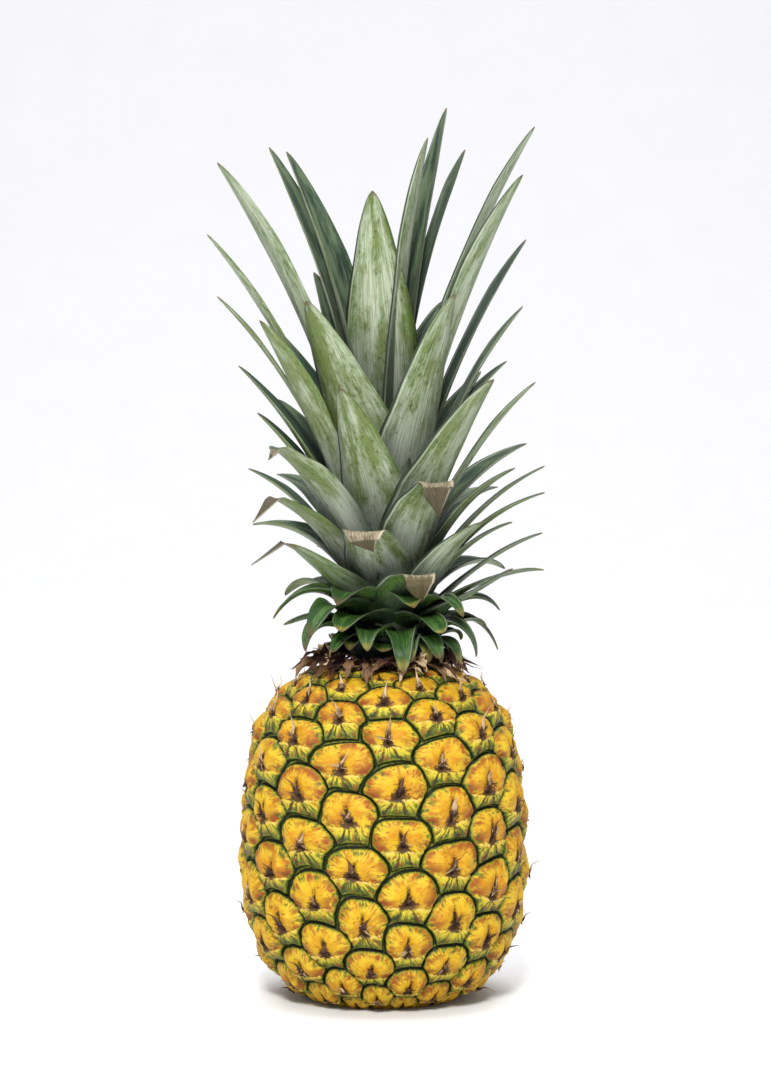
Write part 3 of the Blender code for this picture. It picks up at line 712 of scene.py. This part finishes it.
def ring_faces(rows, ring):
    """Faces and UVs between rows of points that go round in rings."""
    faces = []
    uvs = []
    for row in range(rows - 1):
        start = row * ring
        end = start + ring
        low, high = row / (rows - 1), (row + 1) / (rows - 1)
        for column in range(ring):
            following = (column + 1) % ring
            faces.append((start + column, start + following, end + following, end + column))
            left, right = column / ring, (column + 1) / ring
            uvs.extend(((left, low), (right, low), (right, high), (left, high)))
    return faces, uvs


def blade_mesh(line, sides, halves, bends, thickness, values, across):
    """A closed thin blade along a line. The UV's first half is its outer face, the second its inner one."""
    points = []
    count = len(line)
    ring = 2 * across
    for index, middle in enumerate(line):
        along = (line[min(index + 1, count - 1)] - line[max(index - 1, 0)]).normalized()
        side = (sides[index] - along * sides[index].dot(along)).normalized()
        inner = along.cross(side)
        bend = bends[index]
        radius = halves[index] / math.sin(bend)
        thick = min(thickness, halves[index] * 1.2)
        outer_row = []
        inner_row = []
        for step in range(across):
            share = 2 * step / (across - 1) - 1
            angle = bend * share
            place = middle + side * radius * math.sin(angle) + inner * radius * (1 - math.cos(angle))
            normal = inner * math.cos(angle) - side * math.sin(angle)
            half = thick / 2 * (1 - 0.7 * share ** 4)
            outer_row.append(place - normal * half)
            inner_row.append(place + normal * half)
        points.extend(outer_row)
        points.extend(reversed(inner_row))
    faces, uvs = ring_faces(count, ring)
    for row, turned in ((0, True), (count - 1, False)):
        start = row * ring
        last = start + ring - 1
        for column in range(across - 1):
            face = [start + column, start + column + 1, last - 1 - column, last - column]
            level = row / (count - 1)
            left, right = column / ring, (column + 1) / ring
            pairs = [(left, level), (right, level), (right, level), (left, level)]
            faces.append(tuple(reversed(face)) if turned else tuple(face))
            uvs.extend(reversed(pairs) if turned else pairs)
    return points, faces, uvs, values


def leaf_piece(name, leaf, seed, material, steps=34, across=11):
    """One leaf of the crown as its own fine piece."""
    draw = random.Random(seed)
    line, root_azimuth, tip_azimuth = leaf_line(leaf, steps)
    lengths = [0.0]
    for first, second in zip(line, line[1:]):
        lengths.append(lengths[-1] + (second - first).length)
    total = lengths[-1]
    sway = draw.uniform(-1.0, 1.0) * 0.012 * total
    low = 1.0 - float(smooth(leaf.root_up, LOW_ROOT, HIGH_ROOT))
    roll = draw.uniform(-10.0, 10.0) * (1 + 3.0 * low)
    wave = draw.uniform(0, 6.28)
    curl = draw.uniform(-3.0, 9.0)
    slim = 1 - 0.25 * low * draw.random()
    sides = []
    halves = []
    bends = []
    moved = []
    for middle, length in zip(line, lengths):
        share = length / total
        to_tip = total - length
        side = outward(root_azimuth + (tip_azimuth - root_azimuth) * share + roll * share + 90.0)
        half = half_width(leaf.width, to_tip, share, total, leaf.fold)
        half *= (1 + (0.025 + 0.08 * low) * math.sin(9 * share + wave)
                 + 0.012 * math.sin(31 * share + 2 * wave))
        sides.append(side)
        halves.append(half * slim)
        bend = 58.0 - 22.0 * min(1.0, share / 0.6) + 6 * math.sin(7 * share + wave)
        near_fold = float(smooth(to_tip, leaf.fold + 20.0, leaf.fold + 4.0)) if leaf.fold else 0.0
        bends.append(math.radians(bend * (1 - 0.6 * near_fold)))
        lift = low * (curl * share ** 3 + 1.5 * math.sin(7 * share + wave) * share)
        moved.append(middle + side * sway * math.sin(math.pi * share) + Vector((0, 0, lift)))
    folded = leaf.fold + 5.0 if leaf.fold else NO_FOLD
    values = dict(zip(LEAF_VALUES, (draw.random(), leaf.pale, total, folded, low)))
    points, faces, uvs, values = blade_mesh(moved, sides, halves, bends, BLADE_THICKNESS, values, across)
    # Painted shade: the lower part of each leaf darkens towards the stem, where the leaves crowd round it
    off_axis = [(point - stem_middle(point.z)).length - stem_radius(point.z) for point in points]
    shares = np.repeat(np.array(lengths) / total, 2 * across)
    near_stem = 1.0 - smooth(np.array(off_axis), 1.0, STEM_SHADE_REACH)
    values["leaf_stem_shade"] = near_stem * (1.0 - smooth(shares, 0.3, 0.8))
    return mesh_object(name, points, faces, uvs, material, values=values)


def far_leaves():
    """Rows for the leaves of the far side, in the same form as the seen ones."""
    draw = random.Random(FAR_SEED)
    rows = []
    for number in range(FAR_LEAVES):
        share = (number + 0.5) / FAR_LEAVES
        turn = (number * GOLDEN_TURN) % 1.0
        azimuth = 180.0 + FAR_ARC * (2 * turn - 1)
        root_up = 155.5 + 64.0 * share
        reach = 38.0 + 28.0 * math.sin(math.pi * min(1.0, 0.12 + 0.8 * share)) - 16.0 * share ** 3
        rise = -5.0 + 112.0 * share
        reach *= draw.uniform(0.92, 1.08)
        rise *= draw.uniform(0.95, 1.03)
        width = 20.0 + 10.0 * math.sin(math.pi * share) + draw.uniform(-2.0, 2.0)
        bow = 50.0 - 42.0 * min(1.0, 1.6 * share)
        up = root_up + rise
        tip = stem_middle(up) + outward(azimuth) * reach
        pale = 0.25 + 0.5 * min(1.0, 1.5 * share)
        rows.append(Leaf(tip.x, -tip.y, up, root_up, width, bow, pale))
    return rows


def neck_leaves():
    """Rows for the last short leaves, which hang over the neck all round."""
    draw = random.Random(NECK_SEED)
    rows = []
    for number in range(NECK_LEAVES):
        azimuth = 360.0 * (number * GOLDEN_TURN % 1.0) + draw.uniform(-8.0, 8.0)
        up = draw.uniform(148.0, 154.0)
        tip = stem_middle(up) + outward(azimuth) * draw.uniform(26.0, 35.0)
        width = draw.uniform(12.0, 21.0)
        root_up = draw.uniform(151.5, 154.5)
        bow = draw.uniform(56.0, 70.0)
        rows.append(Leaf(tip.x, -tip.y, up, root_up, width, bow, 0.1))
    return rows


def skin_material():
    """Golden lobes with rust blotches over a lemon to green bract, dark green in the crevices, a painted
    peach highlight on the lip under the crease and a near-black line at the lobes' edges that is partly
    painted shade.
    """
    g = Graph("pineapple_skin")
    side, up, above, rim, dome, turn, seed = (g.attribute(key) for key in EYE_VALUES)
    shifted = g.times(seed, 47.0)
    patch = g.noise(g.vector(side, up, shifted), 2.2, 4.0, 0.6)
    fine = g.noise(g.vector(side, up, shifted), 9.0, 4.0, 0.65)
    spots = g.noise(g.vector(side, up, g.add(shifted, 5.0)), 7.0, 2.0, 0.5)
    streak = g.noise(g.vector(g.times(turn, 30.0), g.times(rim, 2.2), shifted), 1.0, 3.0, 0.6)
    wavy = g.noise(g.vector(g.times(side, 2.2), shifted, 0.0), 1.0, 2.0)
    broad_side = g.math("ABSOLUTE", side)
    above = g.add(above, g.times(g.math("SUBTRACT", wavy, 0.5), 0.3))
    grain = g.math("SUBTRACT", fine, 0.5)
    hue = g.add(g.times(patch, 0.8), g.times(seed, 0.25))
    gold = g.layers(
        GOLD,
        (AMBER, (hue, 0.46, 0.76)),
        (AMBER, (patch, 0.44, 0.6), (dome, 0.75, 0.35), 0.55),
        (PALE_GOLD, (dome, 0.3, 0.75), (patch, 0.6, 0.42), 0.5),
        (LEMON, (fine, 0.5, 0.68), 0.4),
        (LEMON, (streak, 0.5, 0.66), (rim, 0.25, 0.6), 0.6),
        (RUST, (broad_side, 0.2, 0.6), (above, 0.6, 0.1), (patch, 0.38, 0.54), 0.9),
        (RUST, (spots, 0.62, 0.7), 0.7),
        (RUST, (dome, 0.6, 0.85), (patch, 0.48, 0.6), 0.7),
    )
    falling = g.add(above, g.times(fine, 0.22))
    ray = g.math("ARCTAN2", side, g.math("SUBTRACT", 0.25, above))
    ray_lines = g.noise(g.vector(g.times(ray, 8.0), g.times(above, 1.2), shifted), 1.0, 2.0, 0.6)
    fan = g.layers(
        LEMON,
        (LIME, (falling, 0.00, -0.4)),
        (OLIVE, (falling, -0.16, -0.48)),
        (OLIVE, (ray_lines, 0.52, 0.6), (above, -0.04, -0.22), 0.9),
        (LEMON, (ray_lines, 0.44, 0.36), (above, -0.75, -0.3), 0.7),
        (RUST, (spots, 0.6, 0.66), 0.7),
    )
    flank = g.layers(OLIVE, (LIME, (streak, 0.44, 0.6)), (LEMON, (fine, 0.5, 0.62), 0.6))
    lip = g.band(g.math("ABSOLUTE", g.add(above, 0.07)), 0.05, 0.01)
    jag = g.add(dome, g.times(g.math("SUBTRACT", streak, 0.5), 0.3))
    crease = g.band(g.math("ABSOLUTE", above), 0.045, 0.01)
    slit = g.times(g.band(broad_side, 0.095, 0.02), g.band(above, -0.02, 0.08), g.band(up, 0.6, 0.25))
    under = g.times(g.band(above, 0.0, -0.08), above, above, 2.2)
    reach = g.math("SQRT", g.add(g.add(g.times(side, side, 1.1), g.times(above, above, 0.7)), under))
    scar = g.band(g.add(reach, g.times(grain, 0.6)), 0.3, 0.17)
    off_middle = g.math("ABSOLUTE", g.add(ray, g.times(grain, 0.5)))
    off_line = g.math("ABSOLUTE", g.math("SUBTRACT", off_middle, 0.36))
    forked = g.times(g.band(off_line, 0.1, 0.03), g.band(above, -0.06, -0.16), g.band(above, -0.78, -0.45))
    outline = g.band(g.add(dome, g.times(grain, 0.06)), 0.93, 0.975)
    colour = g.layers(
        gold,
        (fan, (g.add(above, g.times(grain, 0.16)), 0.045, -0.045)),
        (PEACH, (ray_lines, 0.53, 0.62), (rim, 0.5, 0.15), (above, 0.12, 0.0), 0.75),
        # Painted highlight: peach on the raised lip under the crease
        (PEACH, lip, (patch, 0.4, 0.55), (broad_side, 0.8, 0.5), 0.55),
        (RUST, (streak, 0.47, 0.38), (dome, 0.4, 0.8), 0.6),
        (OLIVE, (streak, 0.53, 0.6), (dome, 0.6, 0.84), 0.85),
        (LIME, (jag, 0.86, 0.92), 0.7),
        (OLIVE, (jag, 0.92, 0.96), 0.8),
        (RUST, crease, (broad_side, 0.85, 0.6), (fine, 0.42, 0.56), 0.8),
        (BARK, slit, (fine, 0.36, 0.5)),
        (BARK, scar, 0.92),
        (BARK, forked, (fine, 0.3, 0.45), (seed, 0.15, 0.45), 0.85),
        # Near-black where each lobe dips into the crevice: partly the groove's own dark colour, partly
        # painted shade
        (CREVICE, outline, (dome, 1.08, 1.02)),
        (flank, (dome, 1.02, 1.08), 0.9),
        (OLIVE, (rim, 0.975, 1.0), (fine, 0.35, 0.55), 0.8),
    )
    rough = g.add(0.4, g.times(fine, 0.35))
    height = g.add(g.times(fine, 0.6), g.times(streak, 0.6))
    return g.finish(colour, rough, height, 0.75, 0.22)


def leaf_material():
    """Pale scurf with rubbed green patches outside, dark blue-green inside and a dry tip, with painted shade:
    dark edges, darker lower margins and a darker part near the stem.
    """
    g = Graph("pineapple_leaf")
    u, v = g.split_uv()
    leaf_seed, pale, length, folded, low, stem_shade = (g.attribute(key) for key in LEAF_VALUES)
    seed = g.times(leaf_seed, 53.0)
    across = g.math("SUBTRACT", g.math("PINGPONG", g.times(u, 4.0), 2.0), 1.0)
    edge = g.math("ABSOLUTE", across)
    inside = g.band(u, 0.495, 0.505)
    from_root = g.times(v, length)
    to_tip = g.math("SUBTRACT", length, from_root)

    def streaks(sideways, along, detail, roughness):
        place = g.vector(g.times(across, sideways), g.times(from_root, along), seed)
        return g.noise(place, 1.0, detail, roughness)

    broad = streaks(2.2, 0.035, 4.0, 0.62)
    lines = streaks(26.0, 0.035, 3.0, 0.6)
    speck = streaks(13.0, 0.16, 4.0, 0.7)
    fleck = streaks(8.0, 0.3, 5.0, 0.75)
    wear = g.add(g.add(g.times(broad, 0.9), g.times(speck, 0.3)), g.times(fleck, 0.45))
    wear = g.add(wear, g.times(g.band(v, 0.1, 0.55), 0.16))
    rubbed = g.band(g.math("SUBTRACT", wear, g.times(pale, 0.3)), 0.72, 0.94)
    scurf = g.layers(
        SCURF,
        (WHITE_SCURF, (lines, 0.4, 0.62), g.add(0.35, g.times(pale, 0.7))),
        (GREY_GREEN, (broad, 0.38, 0.62), 0.55),
        (LAVENDER, (v, 0.55, 0.25), 0.45),
    )
    green = g.layers(LEAF_GREEN, (BRIGHT_GREEN, (lines, 0.42, 0.6)), (LEAF_OLIVE, (speck, 0.35, 0.62)))
    outer = g.layers(
        scurf,
        (green, rubbed, 0.88),
        (DEEP_GREEN, (fleck, 0.56, 0.66), (broad, 0.35, 0.6), 0.85),
        (LEAF_GREEN, (lines, 0.6, 0.7), 0.6),
        # Painted shade: darker green towards the margins
        (LEAF_GREEN, (edge, 0.55, 0.95), (speck, 0.3, 0.6), 0.55),
        # Painted shade on the lower margins, where the leaves overlap
        (LEAF_SHADE, (v, 0.62, 0.15), (edge, 0.22, 0.9), 0.88),
    )
    inner = g.layers(
        DEEP_GREEN,
        (BLUE_GREEN, (lines, 0.45, 0.68)),
        (GREY_GREEN, (broad, 0.4, 0.6), (pale, 0.25, 0.55), 0.7),
        (SCURF, (lines, 0.6, 0.68), 0.45),
    )
    low_green = g.layers(
        LOW_GREEN,
        (LOW_BRIGHT, (g.add(g.times(broad, 0.6), g.times(lines, 0.4)), 0.44, 0.58)),
        (GREY_GREEN, (lines, 0.58, 0.68), (broad, 0.4, 0.6), 0.7),
        (LOW_GREEN, (fleck, 0.5, 0.62), 0.6),
        (DRY_TIP, (edge, 0.7, 0.95), (speck, 0.45, 0.6), 0.6),
    )
    past_fold = g.math("SUBTRACT", g.add(to_tip, g.times(speck, 2.0)), folded)
    dried = g.layers(
        FOLD_BROWN,
        (DRY_TIP, (broad, 0.4, 0.62), 0.6),
        (CREAM, (speck, 0.56, 0.7), 0.3),
        (CREAM, (edge, 0.8, 0.9), 0.75),
        (CREAM, (past_fold, -1.2, -0.2), (speck, 0.35, 0.6), 0.5),
    )
    dry_part = g.math("MAXIMUM", g.band(past_fold, 1.0, -0.4), g.times(g.band(past_fold, 11.0, 6.0), inside))
    near_tip = g.band(g.add(to_tip, g.times(speck, 8.0)), 12.0, 5.0)
    colour = g.layers(
        outer,
        (inner, inside),
        (low_green, low, 0.88),
        (LEAF_YELLOW, low, near_tip, 0.85, (leaf_seed, 0.42, 0.55)),
        (WHITE_SCURF, (edge, 0.84, 0.9), (lines, 0.35, 0.55), 0.6),
        # Painted shade: a near-black line along the margins
        (LEAF_SHADE, (edge, 0.89, 0.95), 0.92),
        (DRY_TIP, (g.add(to_tip, g.times(broad, 8.0)), 11.0, 5.0), 0.9),
        (dried, dry_part, 0.95),
        # Painted shade near the stem
        (LEAF_SHADE, stem_shade, 0.82),
    )
    rough = g.math("SUBTRACT", 0.62, g.add(g.times(rubbed, 0.15), g.times(low, 0.24)))
    height = g.add(g.times(lines, 0.8), g.times(speck, 0.2))
    return g.finish(colour, rough, height, 0.5, 0.35)


def bract_material():
    """Dry papery bract: bark brown at its root and straw to pinkish white at its tip."""
    g = Graph("pineapple_dry_bract")
    u, v = g.split_uv()
    seed = g.times(g.attribute("leaf_seed"), 31.0)
    pale = g.attribute("leaf_pale")
    lines = g.noise(g.vector(g.times(u, 40.0), g.times(v, 2.0), seed), 1.0, 3.0)
    blotch = g.noise(g.vector(g.times(u, 6.0), g.times(v, 3.0), seed), 1.0, 3.0)
    share = g.add(g.add(v, g.times(g.math("SUBTRACT", blotch, 0.5), 1.2)), g.times(pale, 0.35))
    colour = g.layers(
        BARK,
        (UMBER, (share, 0.2, 0.7)),
        (STRAW, (share, 0.45, 0.9), (pale, 0.15, 0.75)),
        (STRAW, (lines, 0.5, 0.7), (pale, -0.8, 0.6), 0.45),
        (BARK, (lines, 0.45, 0.35), 0.5),
    )
    return g.finish(colour, 0.75, lines, 0.3, 0.2)


def stalk_material():
    """Cut stalk: pale fibres end-on, browner towards the rind."""
    g = Graph("pineapple_stalk")
    place = g.place()
    dots = g.noise(place, 0.9, 4.0, 0.7)
    broad = g.noise(place, 0.18, 3.0)
    colour = g.mix(g.band(dots, 0.45, 0.65), STALK_PALE, STALK_FIBRE)
    colour = g.mix(g.times(g.band(broad, 0.45, 0.65), 0.6), colour, STALK_BROWN)
    return g.finish(colour, 0.8, dots, 0.4, 0.2)


def floor_material():
    """Plain pale studio floor."""
    g = Graph("studio_floor")
    grain = g.noise(g.place(), 0.02, 2.0)
    return g.finish(g.mix(grain, FLOOR_GREY, FLOOR_PALE), 0.9, None, 0.0, 0.1)


def joined(name, parts, material):
    """One object from several blades, each with values of its own."""
    points = []
    faces = []
    uvs = []
    values = {}
    for part_points, part_faces, part_uvs, part_values in parts:
        offset = len(points)
        points.extend(part_points)
        faces.extend(tuple(offset + index for index in face) for face in part_faces)
        uvs.extend(part_uvs)
        for key, value in part_values.items():
            values.setdefault(key, []).extend([value] * len(part_points))
    return mesh_object(name, points, faces, uvs, material, values={k: np.array(v) for k, v in values.items()})


def strip(line, side, width, power, thickness, values, across=5, bend=0.9, ragged=0.0):
    """A thin pointed blade along a line, with its sides towards one direction."""
    count = len(line)
    halves = []
    for step in range(count):
        swing = 1 + ragged * math.sin(2.3 * step + 9 * values["leaf_seed"])
        halves.append(max(0.1, width * swing * (1 - (step / (count - 1)) ** power)))
    return blade_mesh(line, [side] * count, halves, [bend] * count, thickness, values, across)


def eye_bracts(skin, material):
    """The dry bract tip in every eye, standing out of the split between its lobes, with torn shreds."""
    parts = []
    for number in range(-EYES_BELOW, EYES_ABOVE + 1):
        draw = random.Random(EYE_SEED + number)
        relief = relief_of(number)
        raised = 0.4 + 0.6 * relief
        angle, swirl = warped(eye_centre(number, skin))
        high = smooth(number, 4, 16)
        reach = draw.uniform(0.42, 1.08) * (0.5 + 0.5 * relief) * (1 + 0.8 * high)
        drift = draw.uniform(-4.5, 4.5)
        spring = draw.uniform(2.0, 8.0)
        side = Vector((math.cos(math.radians(angle)), math.sin(math.radians(angle)), 0.0))
        line = []
        for step in range(10):
            u = step / 9
            lift = (1.9 + 1.6 * math.sin(math.pi * min(1, 1.6 * u)) + spring * u ** 2.4 * reach) * raised
            up = math.degrees((-2.0 + 8.6 * u * reach) / SWIRL_RADIUS)
            line.append(Vector(skin.points(angle + drift * u * u, swirl + up, lift)))
        pale = max(-0.4, min(1.0, draw.uniform(-1.0, 0.9) + 1.3 * high))
        values = {"leaf_seed": draw.random(), "leaf_pale": pale}
        width = draw.uniform(1.3, 2.8)
        parts.append(strip(line, side, width, draw.uniform(0.5, 0.9), BRACT_THICKNESS, values))
        shred_pale = draw.uniform(-0.9, 0.9)
        for _ in range(EYE_SHREDS):
            heading = math.radians(draw.choice((-1, 1)) * draw.uniform(10, 130))
            length = draw.uniform(1.6, 5.0) * raised
            line = []
            for step in range(5):
                u = step / 4
                over = math.degrees(length * u * math.sin(heading) / SHRED_RADIUS)
                up = math.degrees((-1.0 + length * u * math.cos(heading)) / SWIRL_RADIUS)
                lift = (2.1 + 1.8 * math.sin(1.7 * u)) * raised
                line.append(Vector(skin.points(angle + over, swirl + up, lift)))
            values = {"leaf_seed": draw.random(), "leaf_pale": shred_pale + draw.uniform(-0.4, 0.7)}
            parts.append(strip(line, side, draw.uniform(0.25, 0.9), 1.0, SHRED_THICKNESS, values, 3))
    return joined("eye_bracts", parts, material)


def neck_bracts(skin, material):
    """Dry papery bracts that lie over the shoulder round the neck, ragged and curled at their tips."""
    parts = []
    draw = random.Random(FAR_SEED)
    for number in range(NECK_STRIPS):
        share = number / (NECK_STRIPS - 1)
        angle = 360.0 * (number * GOLDEN_TURN % 1.0) + draw.uniform(-5.0, 5.0)
        start = float(np.interp(NECK_START, skin.height, skin.swirl))
        low = draw.uniform(137.5, 144.5) + 2.5 * share
        sway = draw.uniform(0.0, 6.28)
        end = float(np.interp(low, skin.height, skin.swirl))
        curl = draw.uniform(-0.5, 4.5)
        arch = draw.uniform(0.2, 2.6)
        drift = draw.uniform(-16.0, 16.0)
        line = []
        for step in range(12):
            u = step / 11
            lift = 2.0 + 2.6 * share + arch * math.sin(math.pi * u ** 0.8) + curl * u ** 3
            lift += 0.7 * math.sin(8 * u + sway)
            line.append(Vector(skin.points(angle + drift * u, start + (end - start) * u, lift)))
        values = {"leaf_seed": draw.random(), "leaf_pale": draw.choice((-1.0, -0.8, -0.4, 0.3, 0.9, 1.5))}
        side = (outward(angle + 90) + outward(angle) * draw.uniform(-0.4, 0.4)).normalized()
        bend = draw.uniform(0.3, 1.3)
        width = draw.uniform(0.9, 3.6)
        power = draw.uniform(1.2, 4.0)
        parts.append(strip(line, side, width, power, BRACT_THICKNESS, values, 7, bend, 0.4))
    for number in range(NECK_SHREDS):
        angle = 360.0 * (number * GOLDEN_TURN % 1.0) + draw.uniform(-9.0, 9.0)
        root = stem_middle(NECK_TOP - 1.5) + outward(angle) * 12.0
        tip = root + outward(angle + draw.uniform(-25, 25)) * draw.uniform(12.0, 25.0)
        tip.z += draw.uniform(-7.0, 5.0)
        rise = Vector((0, 0, draw.uniform(0.5, 3.0)))
        ends = (root, root + outward(angle) * 6.0 + rise, tip - outward(angle) * 5.0 + rise, tip)
        values = {"leaf_seed": draw.random(), "leaf_pale": draw.uniform(-0.4, 1.1)}
        line = [bezier(ends, step / 10) for step in range(11)]
        parts.append(strip(line, outward(angle + 90), draw.uniform(0.6, 3.4), 1.8, BRACT_THICKNESS, values))
    return joined("neck_bract_ring", parts, material)


def turned_piece(name, stations, material, sides=40):
    """A closed turned form from heights and radii, leaning with the stem."""
    points = []
    for height, radius in stations:
        for index in range(sides):
            points.append(stem_middle(height) + outward(360.0 * index / sides) * radius)
    rows = len(stations)
    faces, uvs = ring_faces(rows, sides)
    for row, turned in ((0, True), (rows - 1, False)):
        ring = [row * sides + index for index in range(sides)]
        faces.append(tuple(reversed(ring)) if turned else tuple(ring))
        uvs.extend([(index / sides, row / (rows - 1)) for index in range(sides)])
    # With the leaf material the last value paints the form almost black: painted shade on the crown stem
    values = dict(zip(LEAF_VALUES, (0.5, -0.3, 90.0, NO_FOLD, 0.0, 1.2)))
    return mesh_object(name, points, faces, uvs, material, values=values)


def build_camera():
    """The photograph's view: level with the fruit, long lens, the same frame."""
    right = (FRAME_WIDTH_PX / 2 - AXIS_PX) * MM_PER_PX
    up = (BASE_PX - FRAME_HEIGHT_PX / 2) * MM_PER_PX
    aim = Vector((right, 0.0, up))
    tilt = math.radians(CAMERA_ELEVATION)
    back = Vector((0.0, -math.cos(tilt), math.sin(tilt)))
    data = bpy.data.cameras.new("camera")
    data.sensor_width = SENSOR
    data.lens = SENSOR * CAMERA_DISTANCE / (FRAME_HEIGHT_PX * MM_PER_PX)
    data.clip_end = 100.0
    camera = add_object("camera", data)
    camera.location = (aim + back * CAMERA_DISTANCE) * MM
    camera.rotation_euler = (math.radians(90.0 - CAMERA_ELEVATION), 0.0, 0.0)
    bpy.context.scene.camera = camera


def area_light(name, place, size, power, colour):
    """A square soft light that faces the middle of the object."""
    data = bpy.data.lights.new(name, "AREA")
    data.size = size
    data.energy = power
    data.color = colour
    light = add_object(name, data)
    light.location = place
    light.rotation_euler = (Vector((0, 0, 0.2)) - Vector(place)).to_track_quat("-Z", "Y").to_euler()


def build_studio():
    """Pale floor that sweeps up behind, a bright surround and large soft lights."""
    profile = [(FLOOR_FRONT, 0.0), (FLOOR_BACK, 0.0)]
    for step in range(1, SWEEP_STEPS + 1):
        angle = math.radians(90.0 * step / SWEEP_STEPS)
        profile.append((FLOOR_BACK + SWEEP_RADIUS * math.sin(angle), SWEEP_RADIUS * (1 - math.cos(angle))))
    profile.append((FLOOR_BACK + SWEEP_RADIUS, WALL_TOP))
    corners = [(side * FLOOR_HALF_WIDTH, y, z) for y, z in profile for side in (-1, 1)]
    faces = [(2 * row, 2 * row + 1, 2 * row + 3, 2 * row + 2) for row in range(len(profile) - 1)]
    mesh = bpy.data.meshes.new("floor")
    mesh.from_pydata(corners, [], faces)
    mesh.shade_smooth()
    mesh.materials.append(floor_material())
    floor = add_object("floor", mesh)
    world = bpy.data.worlds.new("studio")
    world.use_nodes = True
    background = world.node_tree.nodes["Background"]
    background.inputs["Color"].default_value = (0.95, 0.97, 1.0, 1.0)
    background.inputs["Strength"].default_value = 0.42
    bpy.context.scene.world = world
    area_light("key", (-0.15, -1.6, 1.35), 0.4, 46.0, (1.0, 0.98, 0.94))
    area_light("overhead", (0.0, 0.3, 2.6), 2.6, 85.0, (1.0, 1.0, 1.0))
    bpy.context.scene.view_settings.view_transform = "Standard"


def declare(piece, node):
    """Rides a piece on the fruit's one body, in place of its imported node."""
    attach(piece, "root")
    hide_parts(node)


def main():
    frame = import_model()
    build_camera()
    build_studio()
    skin = Skin()
    leaf = leaf_material()
    bract = bract_material()
    declare(build_skin(skin, skin_material()), "fruit")
    declare(eye_bracts(skin, bract), "fruit")
    declare(neck_bracts(skin, bract), "neck_bracts")
    disc = turned_piece("neck", [(145.0, 15.0), (147.0, 14.0), (NECK_TOP, 14.5)], bract)
    declare(disc, "neck_bracts")
    # The crown stem, painted almost black as shade inside the crown
    stations = [(STEM_BOTTOM, 14.0), (153.0, 17.0), (158.0, 21.0)]
    stations += [(height, stem_radius(height)) for height in (170.0, 190.0, 230.0)] + [(STEM_TOP, 2.0)]
    declare(turned_piece("crown_stem", stations, leaf), "crown")
    for number, form in enumerate(SEEN_LEAVES + far_leaves() + neck_leaves()):
        declare(leaf_piece(f"leaf_{number:02d}", form, LEAF_SEED + number, leaf), "crown")
    stalk = frame["nodes"]["stalk"]
    stalk.data.materials.clear()
    stalk.data.materials.append(stalk_material())


main()
